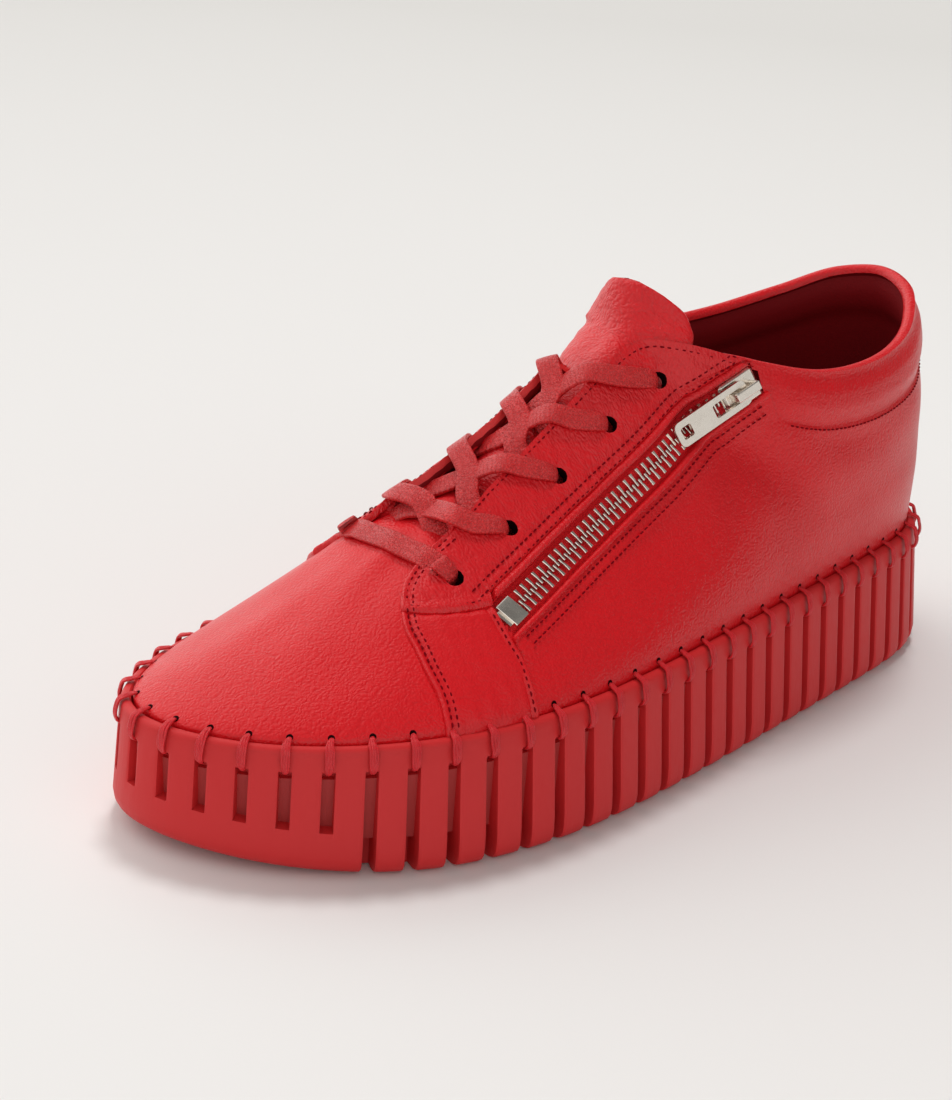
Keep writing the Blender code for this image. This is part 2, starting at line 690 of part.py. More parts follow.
def zip_chain(look):
    """The two rows of teeth, meshed: a comb whose teeth take turns from each side."""
    first = STOP_LENGTH + GAP
    count = int((ZIP_LENGTH - SLIDER_FOOT - GAP - first) / TOOTH_PITCH)
    rings = []
    for tooth in range(2 * count):
        reach = (-CHAIN_HALF, 0.7) if tooth % 2 else (-0.7, CHAIN_HALF)
        for inside in (0.04, 0.46):
            distance = first + (tooth + 2 * inside) * TOOTH_PITCH / 2
            point, _, across, normal = zip_frame(distance)
            middle = point + normal * (CHAIN_LOW + CHAIN_HIGH) / 2
            rings += ribbon_rings([middle], [across], [normal], [reach], (CHAIN_HIGH - CHAIN_LOW) / 2)
    return add_object("zip_chain", *rings_mesh(rings, cap="face"), look)


def placed(made, distance, height):
    """Stand an object on the zip: its X across, its Y along towards the head, its Z outwards."""
    point, way, across, normal = zip_frame(distance)
    turn = Matrix((-across, way, normal)).transposed()
    made.matrix_world = Matrix.Translation(Vector((point + normal * height) * MM)) @ turn.to_4x4()
    return made


def block(name, size, look, bevel=0.5):
    bpy.ops.mesh.primitive_cube_add(size=1)
    made = bpy.context.object
    made.name = name
    made.data.transform(Matrix.Diagonal((*(Vector(size) * MM), 1)))
    made.data.materials.append(look)
    edge = made.modifiers.new("edge", "BEVEL")
    edge.width = bevel * MM
    edge.segments = 1
    return keep_in(made, PARTS)


def zip_stop(look):
    made = block("zip_stop", (STOP_WIDTH, STOP_LENGTH, STOP_THICK), look)
    return placed(made, STOP_LENGTH / 2 - 0.2, -0.75)


def zip_slider(look):
    """Body with a bridge along it, under which the tab's bar passes."""
    made = block("zip_slider", (SLIDER_WIDTH, SLIDER_LENGTH, 3.4), look, 0.7)
    for name, y, z, length, height in (("foot", -3.2, 3.0, 1.0, 4.2), ("heel", 3.2, 3.0, 1.0, 4.2),
                                       ("top", 0.0, 5.3, 7.4, 1.0)):
        post = block(name, (2.4, length, height), look, 0.25)
        post.location = Vector((0, y, z)) * MM
        bpy.context.view_layer.update()
        cut(made, post, "UNION")
    made.modifiers.clear()
    return placed(made, ZIP_LENGTH - HINGE_FROM_HEAD, -0.3)


def rounded_box(width, length, radius, centre_y):
    """Corners of a rounded rectangle, as points."""
    points = []
    for corner in range(4):
        sx, sy = ((1, 1), (-1, 1), (-1, -1), (1, -1))[corner]
        for step in range(4):
            angle = math.radians(90 * corner + 30 * step)
            points.append((sx * (width / 2 - radius) + radius * math.cos(angle),
                           centre_y + sy * (length / 2 - radius) + radius * math.sin(angle)))
    return points


def pull_tab(look):
    """Plate with a long window at the slider and a small one at its free end."""
    data = bpy.data.curves.new("pull_tab", "CURVE")
    data.dimensions = "2D"
    data.fill_mode = "BOTH"
    data.extrude = TAB_THICK / 2 * MM
    window, hole = TAB_WINDOW, TAB_HOLE
    for outline in (rounded_box(TAB_WIDTH, TAB_LENGTH, 1.5, TAB_BAR - TAB_LENGTH / 2),
                    rounded_box(*window, 0.6, -TAB_BAR - window[1] / 2),
                    rounded_box(*hole, 0.5, TAB_BAR - TAB_LENGTH + 2 * TAB_BAR + hole[1] / 2)):
        spline = data.splines.new("POLY")
        spline.points.add(len(outline) - 1)
        for point, (x, y) in zip(spline.points, outline):
            point.co = (x * MM, y * MM, 0, 1)
        spline.use_cyclic_u = True
    made = bpy.data.objects.new("pull_tab", data)
    data.materials.append(look)
    keep_in(made, PARTS)
    return placed(made, ZIP_LENGTH - HINGE_FROM_HEAD, HINGE_HEIGHT)


def main():
    for old in list(bpy.data.objects):
        bpy.data.objects.remove(old)
    rubber = material("red rubber", (0.42, 0.03, 0.03), 0.62)
    leather = material("red leather", (0.50, 0.025, 0.03), 0.42)
    lining = material("red lining", (0.30, 0.02, 0.02), 0.7)
    waxed = material("waxed lace", (0.55, 0.07, 0.06), 0.45)
    woven = material("red tape", (0.40, 0.02, 0.02), 0.8)
    nickel = material("nickel", (0.75, 0.72, 0.68), 0.28, 1.0)
    outsole(rubber)
    insole(lining)
    upper(leather)
    tongue(leather)
    lace_bar(waxed)
    for row in range(len(EYELETS) - 1):
        lace_cross(row, waxed)
    zip_tape(woven)
    zip_chain(nickel)
    zip_stop(nickel)
    zip_slider(nickel)
    pull_tab(nickel)


main()
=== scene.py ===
"""Looks of a left side-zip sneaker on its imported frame.

Leather panels, seams, stitches, flat laces, zip and ribbed cup sole are laid on the same shape
functions as the part. Tables and shape functions are in millimetres, meshes in metres.
"""

import math

import bpy
import numpy as np
from mathutils import Matrix, Vector


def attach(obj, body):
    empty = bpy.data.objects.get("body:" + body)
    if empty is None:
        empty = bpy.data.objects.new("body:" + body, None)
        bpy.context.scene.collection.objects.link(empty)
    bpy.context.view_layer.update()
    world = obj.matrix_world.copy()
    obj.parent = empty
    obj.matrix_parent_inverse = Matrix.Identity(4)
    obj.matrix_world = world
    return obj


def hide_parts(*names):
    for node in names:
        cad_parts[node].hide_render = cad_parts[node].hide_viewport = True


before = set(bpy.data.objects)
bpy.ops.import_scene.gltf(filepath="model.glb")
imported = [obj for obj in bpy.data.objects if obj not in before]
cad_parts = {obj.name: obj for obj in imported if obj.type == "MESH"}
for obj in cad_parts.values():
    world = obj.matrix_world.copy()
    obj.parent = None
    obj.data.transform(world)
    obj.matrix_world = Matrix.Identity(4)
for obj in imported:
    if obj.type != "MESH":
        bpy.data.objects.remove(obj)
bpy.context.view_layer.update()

MM = 0.001
# ---------------------------------------------------------------- driving sizes, mm
SLOTS = 65  # slots all round the sole
SLOT_WIDTH = 3.0
FIRST_SLOT = -47.5  # arc from the toe tip to the first slot, the tip being 0
WINDOWS = range(0, 11)  # slots round the toe that stay closed below, counted from the first
WINDOW_FOOT = 10.6  # height of a window's lower edge
SLOT_TOP = 5.4  # from the rim down to a slot's top
SLOT_DEPTH = 1.5  # at the top of a slot
SLOT_RAKE = 0.13  # how fast a slot gets deeper towards the ground
SLOT_FOOT = 7.6  # depth of an open slot at the ground
RIM_TOE = 31.0  # rim height a quarter of the way back
RIM_RISE = 0.0232  # wedge of the sole, per millimetre of length
RIM_START = -101.0
TOE_SPRING = 3.3
BALL_LINE = -88.0  # ahead of this the sole curves up
TIP = -134.0
FLARE = 0.12  # the wall leans out by this much towards the ground
FLARE_TOE = 0.05
RIM_WALL = 2.9  # wall of the cup at its rim
CUP_FLOOR = 14.0
GAP = 0.3
WALL = 2.0  # leather with its lining
EYELET_RADIUS = 2.2
LACE_WIDTH = 6.2
LACE_THICK = 1.3
RUN_INSIDE = 4.8  # how far inside the throat's edge a run comes out on the tongue
RUN_AHEAD = 2.5  # and how far towards the heel
RUN_OFF_TONGUE = 1.3
CROSS_OFF_TONGUE = 2.2  # where two runs cross
CROSS_OFF_EDGES = 0.4
CROSS_SHARE = 0.45  # of the way from a run's start to the edge that it passes over
TOP_CLEAR = 1.2  # the last run rides higher, past the rising corner
TOOTH_PITCH = 2.4
STOP_LENGTH = 4.8  # the clip at the zip's foot
STOP_WIDTH = 7.0
SLIDER_FOOT = 12.0  # from the slider's lower end to the zip's head

# The rim's outline seen from above, from toe to heel: y, outer, inner.
OUTLINE = (
    (-134.0, -14.0, -14.0),
    (-130.6, 2.9, -23.8),
    (-122.7, 16.0, -31.2),
    (-109.4, 28.8, -38.1),
    (-93.1, 38.4, -43.0),
    (-75.1, 44.4, -45.7),
    (-56.0, 47.3, -46.3),
    (-37.0, 47.6, -44.6),
    (-14.0, 46.1, -42.2),
    (12.0, 43.6, -40.5),
    (38.0, 40.7, -40.0),
    (64.0, 37.8, -40.5),
    (90.0, 34.5, -39.3),
    (110.0, 29.6, -34.8),
    (124.5, 20.0, -25.3),
    (132.2, 7.5, -13.0),
    (133.6, -2.5, -2.5),
)

# The upper's sections, from toe (at 0) to heel (at 1) along each side: at, half, y, z, rise,
# bulge, out, back, drop. The opening's edge is at half, y, z. rise and bulge carry the leather
# up from the rim; out, back and drop are the way it comes down from the opening's edge.
UPPER = (
    (0.00, 0.0, -62.5, 62.0, 3.0, 0.0, 0.0, -30.0, -19.5),
    (0.08, 5.0, -61.8, 61.8, 3.0, 0.0, 4.0, -28.0, -18.5),
    (0.16, 10.2, -58.0, 63.9, 3.0, 0.3, 8.0, -18.0, -16.0),
    (0.30, 8.7, -44.5, 70.7, 5.6, 0.8, 12.4, -8.0, -12.9),
    (0.40, 7.2, -30.4, 78.4, 9.7, 1.5, 13.4, -3.0, -14.1),
    (0.50, 6.8, -16.0, 87.0, 14.8, 1.5, 14.6, -1.0, -15.3),
    (0.56, 6.8, -5.0, 93.8, 20.0, 1.5, 16.0, 0.0, -16.5),
    (0.61, 8.0, 7.5, 99.8, 26.0, 1.2, 15.2, 0.0, -20.0),
    (0.66, 17.0, 15.6, 100.0, 26.0, 1.0, 9.2, 0.0, -23.0),
    (0.71, 26.5, 34.5, 94.2, 25.0, 1.0, 7.4, 0.0, -25.0),
    (0.77, 30.4, 55.0, 89.5, 25.0, 1.0, 6.0, 0.0, -26.0),
    (0.84, 30.0, 83.0, 89.5, 26.0, 1.0, 5.0, 2.0, -27.0),
    (0.91, 23.0, 107.0, 94.5, 28.0, 1.0, 6.0, 4.0, -28.0),
    (0.96, 12.5, 120.5, 100.5, 30.0, 1.5, 4.0, 7.0, -28.0),
    (1.00, 0.0, 125.5, 102.5, 30.0, 2.0, 0.0, 8.0, -28.0),
)

# The middle line that the throat, the tongue and the collar are laid about.
MIDDLE = ((-134.0, -14.0), (-100.0, -9.0), (-66.0, -5.2), (0.0, -3.2), (60.0, -2.0), (134.0, -2.5))

# Where the eyelet holes lie on the upper (at, up), from the lowest row.
EYELETS = ((0.219, 0.759), (0.325, 0.797), (0.429, 0.827), (0.532, 0.842), (0.606, 0.858))

# Sections where each crossing's runs come out from under the throat's edges, and where they
# pass over the edge on the other side.
RUN_FROM = (0.130, 0.260, 0.390, 0.460)
RUN_OVER = (0.200, 0.352, 0.468, 0.543)

# The way of the lowest run over the vamp (at, up), from the middle to the first eyelets.
BAR = ((0.0, 0.956), (0.083, 0.947), (0.133, 0.909), (0.177, 0.845))

# The tongue's sections along its middle line: y, z, half, arch, shift. arch is how fast its
# sides fall, and shift is how far its top leans to the inner side.
TONGUE_ROWS = np.array((
    (-76.0, 50.2, 12.0, 0.030, 0.0),
    (-66.0, 56.0, 14.0, 0.034, 0.0),
    (-57.0, 60.8, 14.4, 0.037, 0.0),
    (-46.0, 66.4, 14.5, 0.042, 0.0),
    (-30.0, 76.4, 13.6, 0.054, 0.0),
    (-15.0, 84.6, 13.0, 0.060, 0.0),
    (-6.0, 88.8, 13.0, 0.060, 0.0),
    (0.0, 91.2, 13.6, 0.056, 0.0),
    (5.0, 94.4, 13.8, 0.053, 0.0),
    (9.0, 100.6, 14.2, 0.042, 0.1),
    (11.2, 106.2, 15.4, 0.037, 2.4),
    (12.9, 110.9, 12.0, 0.034, 3.8),
    (13.6, 112.5, 7.6, 0.033, 4.0),
    (14.0, 113.2, 3.0, 0.032, 4.0),
))
TONGUE_THICK = 3.2

# The zip's middle line (y, z) from its bottom stop to the top of its slider, seen from the side.
ZIP_SIDE = ((-59.4, 49.5), (-14.0, 67.8), (32.0, 91.5))


# ---------------------------------------------------------------- shape functions, mm
def unit(vectors):
    """The vectors at length 1."""
    return vectors / np.maximum(np.linalg.norm(vectors, axis=-1, keepdims=True), 1e-9)


def ease(value, low, high):
    """0 below low, 1 above high, smooth between."""
    t = np.clip((np.asarray(value, float) - low) / (high - low), 0, 1)
    return t * t * (3 - 2 * t)


def hump(value, start, full, fade, end):
    """0 outside start and end, 1 between full and fade, smooth between."""
    return ease(value, start, full) * (1 - ease(value, fade, end))


def along_length(points):
    """How far each point lies along its line from the first one."""
    return np.concatenate([[0], np.cumsum(np.linalg.norm(np.diff(points, axis=0), axis=1))])


def between(at, along, table):
    """The table's rows at places along it, in straight steps."""
    return np.stack([np.interp(at, along, column) for column in np.asarray(table).T], -1)


def closed_spline(points, count):
    """Points spaced along the smooth closed curve through the given ones."""
    points = np.asarray(points, float)
    size = len(points)
    span = np.linalg.norm(np.roll(points, -1, 0) - points, axis=1)
    matrix = np.zeros((size, size))
    right = np.zeros_like(points)
    for i in range(size):
        before, after = span[i - 1], span[i]
        matrix[i, i - 1] += before
        matrix[i, i] += 2 * (before + after)
        matrix[i, (i + 1) % size] += after
        step_on = (points[(i + 1) % size] - points[i]) / after
        right[i] = 6 * (step_on - (points[i] - points[i - 1]) / before)
    bend = np.linalg.solve(matrix, right)
    starts = np.concatenate([[0], np.cumsum(span)])
    along = np.linspace(0, starts[-1], count, endpoint=False)
    i = np.clip(np.searchsorted(starts, along, side="right") - 1, 0, size - 1)
    t, h, j = (along - starts[i])[:, None], span[i][:, None], (i + 1) % size
    ends = (bend[i] * (h - t) ** 3 + bend[j] * t**3) / (6 * h)
    return ends + (points[i] / h - bend[i] * h / 6) * (h - t) + (points[j] / h - bend[j] * h / 6) * t


def smooth_rows(rows, at, odd=()):
    """The rows' values at each place, on smooth curves. Odd columns change sign past the ends."""
    rows = np.asarray(rows, float)
    x, y = rows[:, 0], rows[:, 1:]
    gap = np.diff(x)[:, None]
    rate = np.diff(y, axis=0) / gap
    slope = np.zeros_like(y)
    slope[1:-1] = (rate[:-1] * gap[1:] + rate[1:] * gap[:-1]) / (gap[:-1] + gap[1:])
    for column in odd:
        slope[0, column] = rate[0, column]
        slope[-1, column] = rate[-1, column]
    at = np.clip(np.atleast_1d(np.asarray(at, float)), x[0], x[-1])
    i = np.clip(np.searchsorted(x, at, side="right") - 1, 0, len(x) - 2)
    h = (x[i + 1] - x[i])[:, None]
    u = (at - x[i])[:, None] / h
    held = (2 * u**3 - 3 * u**2 + 1) * y[i] + (3 * u**2 - 2 * u**3) * y[i + 1]
    return held + h * ((u**3 - 2 * u**2 + u) * slope[i] + (u**3 - u**2) * slope[i + 1])


class Outline:
    """The closed rim curve, from the toe tip round the outer side, measured by arc length."""

    def __init__(self):
        outer = [(row[1], row[0]) for row in OUTLINE]
        inner = [(row[2], row[0]) for row in OUTLINE[1:-1]]
        curve = closed_spline(outer + inner[::-1], 2400)
        step = np.roll(curve, -1, 0) - curve
        self.arc = np.concatenate([[0], np.cumsum(np.linalg.norm(step, axis=1))])
        self.length = self.arc[-1]
        way = np.roll(curve, -1, 0) - np.roll(curve, 1, 0)
        self.curve = np.vstack([curve, curve[:1]])
        self.way = np.vstack([way, way[:1]])
        self.heel = self.arc[np.argmax(curve[:, 1])]

    def at(self, arc):
        """Point and outward direction at each arc length."""
        arc = np.mod(np.atleast_1d(np.asarray(arc, float)), self.length)
        way = unit(between(arc, self.arc, self.way))
        return between(arc, self.arc, self.curve), np.stack([way[:, 1], -way[:, 0]], 1)


RIM = Outline()


def middle_x(y):
    return smooth_rows(MIDDLE, y)[:, 0]


def rim_height(y):
    return RIM_TOE + RIM_RISE * (np.asarray(y) - RIM_START)


def ground_height(y):
    return TOE_SPRING * np.clip((BALL_LINE - np.asarray(y)) / (BALL_LINE - TIP), 0, None) ** 2


def wall_lean(y):
    near_tip = np.clip((BALL_LINE - np.asarray(y)) / (BALL_LINE - TIP), 0, 1)
    return FLARE + (FLARE_TOE - FLARE) * near_tip


def side_arc(side, at):
    """Arc length of a section on the outer side (side 1) or the inner side (side -1)."""
    at = np.asarray(at, float)
    return at * RIM.heel if side > 0 else RIM.length - at * (RIM.length - RIM.heel)


CORNER_DROP = 8.5


def corner_drop(at):
    """How much lower the inner side's corner lies, tucked behind the tongue."""
    return CORNER_DROP * hump(at, 0.545, 0.592, 0.70, 0.78)


def upper_surface(side, at, up):
    """Outer face of the leather: at runs from toe to heel, up from the rim to the opening."""
    at, up = np.broadcast_arrays(np.atleast_1d(np.asarray(at, float)), np.asarray(up, float))
    half, y, z, rise, bulge, out, back, drop = smooth_rows(UPPER, at, odd=(0, 5)).T
    foot, outward = RIM.at(side_arc(side, at))
    foot = foot - outward * (RIM_WALL + GAP)
    start = np.column_stack([foot, rim_height(foot[:, 1]) + 0.2])
    lift = start + np.column_stack([outward * bulge[:, None], rise])
    if side < 0:
        z = z - corner_drop(at) * (up > 0)
    edge = np.column_stack([middle_x(y) + side * half, y, z])
    under = edge + np.column_stack([side * out, back, drop])
    u = up[:, None]
    low = (1 - u) ** 3 * start + 3 * (1 - u) ** 2 * u * lift
    return low + 3 * (1 - u) * u * u * under + u**3 * edge


def upper_frame(side, at, up):
    """Point and outward normal of the leather's outer face."""
    at, up = np.broadcast_arrays(np.atleast_1d(np.asarray(at, float)), np.asarray(up, float))
    point = upper_surface(side, at, up)
    step = 1e-3
    high, low = np.clip(up + step, 0, 1), np.clip(up - step, 0, 1)
    rise = upper_surface(side, at, high) - upper_surface(side, at, low)
    ahead, behind = np.clip(at + step, 0, 1), np.clip(at - step, 0, 1)
    along = upper_surface(side, ahead, up) - upper_surface(side, behind, up)
    at_end = (at < step) | (at > 1 - step)
    along[at_end] = np.array([side, 0.0, 0.0]) * np.where(at[at_end] < 0.5, 1, -1)[:, None]
    return point, unit(np.cross(along, rise) * side)


def upper_at(side, y, z, guess):
    """The section and height (at, up) where the leather passes y and z, seen from the side."""
    at, up = guess
    for _ in range(30):
        here = upper_surface(side, at, up)[0, 1:]
        by_at = (upper_surface(side, at + 1e-4, up)[0, 1:] - here) / 1e-4
        by_up = (upper_surface(side, at, up + 1e-4)[0, 1:] - here) / 1e-4
        move = np.linalg.solve(np.column_stack([by_at, by_up]), np.array([y, z]) - here)
        move = np.clip(move, -0.08, 0.08)
        at = float(np.clip(at + move[0], 0.02, 0.98))
        up = float(np.clip(up + move[1], 0.0, 1.0))
        if np.abs(move).max() < 1e-6:
            break
    return at, up


def eyelet(side, row):
    """Centre and outward normal of an eyelet hole, row 0 being the lowest."""
    point, normal = upper_frame(side, *EYELETS[row])
    return point[0], normal[0]


def zip_line():
    """Samples of the zip's middle line: distance from its foot, points and normals."""
    guess, points, normals = (0.3, 0.6), [], []
    for y in np.linspace(ZIP_SIDE[0][0], ZIP_SIDE[-1][0], 60):
        z = smooth_rows(ZIP_SIDE, y, odd=(0,))[0, 0]
        guess = upper_at(1, y, z, guess)
        point, normal = upper_frame(1, *guess)
        points.append(point[0])
        normals.append(normal[0])
    return along_length(points), np.array(points), np.array(normals)


ZIP = zip_line()
ZIP_LENGTH = ZIP[0][-1]


def zip_frame(distance):
    """Point, way along, way across (upwards) and normal on the zip's middle line."""
    along, points, normals = ZIP
    held = float(np.clip(distance, 0, ZIP_LENGTH))
    here, ahead, behind = (between(at, along, points)
                           for at in (held, min(held + 3, ZIP_LENGTH), max(held - 3, 0)))
    way = unit(ahead - behind)
    across = unit(np.cross(between(held, along, normals), way))
    return here + way * (distance - held), way, across, np.cross(way, across)


def tongue_surface(along, across):
    """Upper face of the tongue; along runs 0 to 1 from its foot, across -1 to 1."""
    walked = along_length(TONGUE_ROWS[:, :2])
    rows = np.column_stack([walked / walked[-1], TONGUE_ROWS])
    along, across = np.broadcast_arrays(np.atleast_1d(np.asarray(along, float)), across)
    y, z, half, arch, shift = smooth_rows(rows, along).T
    ahead, behind = (smooth_rows(rows, np.clip(along + step, 0, 1)) for step in (0.01, -0.01))
    way = unit((ahead - behind)[:, :2])
    side = across * half
    fall = arch * side**2
    return np.column_stack([middle_x(y) - shift + side, y + way[:, 1] * fall, z - way[:, 0] * fall])


def tongue_height(y):
    """Height of the tongue's ridge."""
    return float(np.interp(y, TONGUE_ROWS[:, 0], TONGUE_ROWS[:, 1]))


# ---------------------------------------------------------------- finishes
class Bench:
    """Wires nodes in one tree."""

    def __init__(self, tree):
        self.tree = tree

    def add(self, kind, fields=None, **settings):
        made = self.tree.nodes.new(kind)
        for name, value in settings.items():
            setattr(made, name, value)
        for name, value in (fields or {}).items():
            socket = made.inputs[name]
            if isinstance(value, bpy.types.NodeSocket):
                self.tree.links.new(value, socket)
            else:
                socket.default_value = value
        return made

    def math(self, operation, first, second=0.0, third=0.0):
        return self.add("ShaderNodeMath", {0: first, 1: second, 2: third}, operation=operation).outputs[0]

    def vector(self, operation, *values, out=0):
        return self.add("ShaderNodeVectorMath", dict(enumerate(values)), operation=operation).outputs[out]

    def noise(self, place, per_metre, detail=2.0):
        fields = {"Vector": place, "Scale": per_metre, "Detail": detail}
        return self.add("ShaderNodeTexNoise", fields).outputs

    def blend(self, share, first, second):
        fields = {"Factor": share, 6: first, 7: second}
        return self.add("ShaderNodeMix", fields, data_type="RGBA").outputs[2]

    def spread(self, value, low, high, out_low=0.0, out_high=1.0):
        fields = {"Value": value, "From Min": low, "From Max": high, "To Min": out_low, "To Max": out_high}
        return self.add("ShaderNodeMapRange", fields).outputs[0]

    def group(self, tree, fields):
        return self.add("ShaderNodeGroup", fields, node_tree=tree).outputs

    def drift(self, place, colour, second, fields):
        """The piece's two colours, mixed by the shared drift."""
        both = {"Place": place["Object"], "Colour": (*colour, 1), "Second": (*second, 1)}
        return self.group(DRIFT, both | fields)

    def bump(self, height, strength, depth):
        fields = {"Height": height, "Strength": strength, "Distance": depth * MM}
        return self.add("ShaderNodeBump", fields).outputs["Normal"]


FLOAT, VECTOR, COLOUR = "NodeSocketFloat", "NodeSocketVector", "NodeSocketColor"


def group(name, inputs, outputs, build):
    """A shared effect: inputs are (name, kind, value), outputs are names of numbers or colours."""
    tree = bpy.data.node_groups.new(name, "ShaderNodeTree")
    for label, kind, value in inputs:
        socket = tree.interface.new_socket(label, in_out="INPUT", socket_type=kind)
        if value is not None:
            socket.default_value = value
    for label in outputs:
        kind = COLOUR if label == "Colour" else FLOAT
        tree.interface.new_socket(label, in_out="OUTPUT", socket_type=kind)
    bench = Bench(tree)
    come, go = bench.add("NodeGroupInput"), bench.add("NodeGroupOutput")
    for label, socket in build(bench, come.outputs).items():
        tree.links.new(socket, go.inputs[label])
    return tree


def build_grain(bench, given):
    """Pebbled leather: soft cells, a little roughness on them, and longer crossing creases. Valley marks the
    dips and creases, used to paint shade into them.
    """
    stretched = bench.vector("MULTIPLY", given["Place"], given["Stretch"])
    wobble = bench.noise(stretched, 260.0)["Color"]
    offset = bench.vector("SUBTRACT", wobble, (0.5, 0.5, 0.5))
    bent = bench.vector("MULTIPLY_ADD", offset, (0.0024, 0.0024, 0.0024), stretched)
    per_metre = bench.math("DIVIDE", 1000.0, given["Cell"])
    cells = bench.add("ShaderNodeTexVoronoi", {"Vector": bent, "Scale": per_metre, "Smoothness": 0.45},
                      feature="SMOOTH_F1").outputs["Distance"]
    fine = bench.noise(bent, bench.math("MULTIPLY", per_metre, 1.6), 3.0)["Fac"]
    crease_per = bench.math("MULTIPLY", per_metre, 0.3)
    creases = bench.add("ShaderNodeTexVoronoi", {"Vector": bent, "Scale": crease_per},
                        feature="DISTANCE_TO_EDGE").outputs["Distance"]
    crease = bench.math("MULTIPLY", bench.spread(creases, 0.0, 0.16, 1.0, 0.0), given["Creases"])
    pebble = bench.math("MULTIPLY_ADD", cells, -1.5, bench.math("MULTIPLY", fine, 0.55))
    dips = bench.spread(cells, 0.45, 0.8)
    valley = bench.math("MULTIPLY_ADD", dips, 0.4, bench.math("MULTIPLY", crease, 0.6))
    return {"Height": bench.math("SUBTRACT", pebble, crease), "Valley": valley}


def build_drift(bench, given):
    """Slow and fast changes of a colour over the surface."""
    slow = bench.noise(given["Place"], given["Per metre"], 3.0)["Fac"]
    fast = bench.noise(given["Place"], 900.0)["Fac"]
    share = bench.math("MULTIPLY", bench.spread(slow, 0.3, 0.7), given["Slow share"])
    first = bench.blend(share, given["Colour"], given["Second"])
    speck = bench.math("MULTIPLY", bench.spread(fast, 0.35, 0.7), given["Fast share"])
    return {"Colour": bench.blend(speck, first, given["Second"]), "Mask": slow}


def build_weave(bench, given):
    """Flat diagonal braid from a ribbon's own length and width."""
    parts = bench.add("ShaderNodeSeparateXYZ", {"Vector": given["Ribbon"]}).outputs
    loose = bench.noise(given["Ribbon"], 5.0)["Fac"]
    shift = bench.spread(loose, 0.3, 0.7, -0.7, 0.7)
    across = bench.math("MULTIPLY_ADD", parts["X"], given["Threads"], shift)
    along = bench.math("MULTIPLY", parts["Y"], given["Threads"])
    turns = bench.math("ADD", across, along), bench.math("SUBTRACT", across, along)
    heights = []
    for turn in turns:
        heights.append(bench.math("ABSOLUTE", bench.math("SINE", bench.math("MULTIPLY", turn, math.pi))))
    cell = bench.math("ADD", *(bench.math("FLOOR", turn) for turn in turns))
    swap = bench.math("PINGPONG", cell, 1.0)
    keep = bench.math("SUBTRACT", 1.0, swap)
    height = bench.math("MULTIPLY_ADD", heights[0], swap, bench.math("MULTIPLY", heights[1], keep))
    hairs = bench.noise(bench.vector("MULTIPLY", given["Ribbon"], (26.0, 5.0, 1.0)), 1.0)["Fac"]
    height = bench.math("MULTIPLY_ADD", height, 0.75, bench.math("MULTIPLY", hairs, 0.6))
    return {"Height": height, "Mask": swap}


def build_ribs(bench, given):
    """Fine upright mould lines and a faint bloom on rubber."""
    stretched = bench.vector("MULTIPLY", given["Place"], (1.0, 1.0, 0.03))
    lines = bench.noise(stretched, given["Per metre"])["Fac"]
    bloom = bench.noise(given["Place"], 1500.0)["Fac"]
    height = bench.math("MULTIPLY_ADD", lines, given["Line share"], bench.math("MULTIPLY", bloom, 0.25))
    return {"Height": height, "Mask": lines}


GRAIN = group("Leather grain", (("Place", VECTOR, None), ("Stretch", VECTOR, (1.0, 1.0, 1.0)),
                                ("Cell", FLOAT, 0.6), ("Creases", FLOAT, 0.4)),
              ("Height", "Valley"), build_grain)
DRIFT = group("Colour drift", (("Place", VECTOR, None), ("Colour", COLOUR, None), ("Second", COLOUR, None),
                               ("Per metre", FLOAT, 30.0), ("Slow share", FLOAT, 0.4),
                               ("Fast share", FLOAT, 0.1)),
              ("Colour", "Mask"), build_drift)
WEAVE = group("Flat braid", (("Ribbon", VECTOR, None), ("Threads", FLOAT, 6.0)),
              ("Height", "Mask"), build_weave)
RIBS = group("Mould lines", (("Place", VECTOR, None), ("Per metre", FLOAT, 2500.0),
                             ("Line share", FLOAT, 0.5)),
             ("Height", "Mask"), build_ribs)


SOCKETS = {"roughness": "Roughness", "metallic": "Metallic", "specular": "Specular IOR Level",
           "coat": "Coat Weight", "coat_roughness": "Coat Roughness"}


def finish(name, build, coat_roughness=0.2, **values):
    """A Principled finish; build wires its colour, roughness and bump."""
    values["coat_roughness"] = coat_roughness
    made = bpy.data.materials.new(name)
    made.use_nodes = True
    bench = Bench(made.node_tree)
    sockets = made.node_tree.nodes["Principled BSDF"].inputs
    for label, value in values.items():
        sockets[SOCKETS[label]].default_value = value
    place = bench.add("ShaderNodeTexCoord").outputs
    for label, socket in build(bench, place).items():
        made.node_tree.links.new(socket, sockets[label])
    return made


def darker(colour, share):
    return (*(part * share for part in colour), 1)


# In the functions below, second is the colour that the first one drifts to, and a darker copy of it paints
# shade into the grain's valleys and the braid's low threads; depth is in mm.
def leather(name, colour, second, cell, creases, depth, roughness, stretch=(1, 1, 1), specular=0.5):
    def build(bench, place):
        grain = bench.group(GRAIN, {"Place": place["Object"], "Stretch": stretch, "Cell": cell,
                                    "Creases": creases})
        drift = bench.drift(place, colour, second, {"Slow share": 0.5})
        # Painted shade: the grain's valleys and creases are darkened towards a darker copy of the second
        # colour.
        dark = bench.math("MULTIPLY", grain["Valley"], 0.35)
        shade = bench.blend(dark, drift["Colour"], darker(second, 0.6))
        rough = bench.spread(drift["Mask"], 0.3, 0.7, roughness - 0.05, roughness + 0.06)
        return {"Base Color": shade, "Roughness": rough, "Normal": bench.bump(grain["Height"], 0.5, depth)}
    return finish(name, build, roughness=roughness, specular=specular)


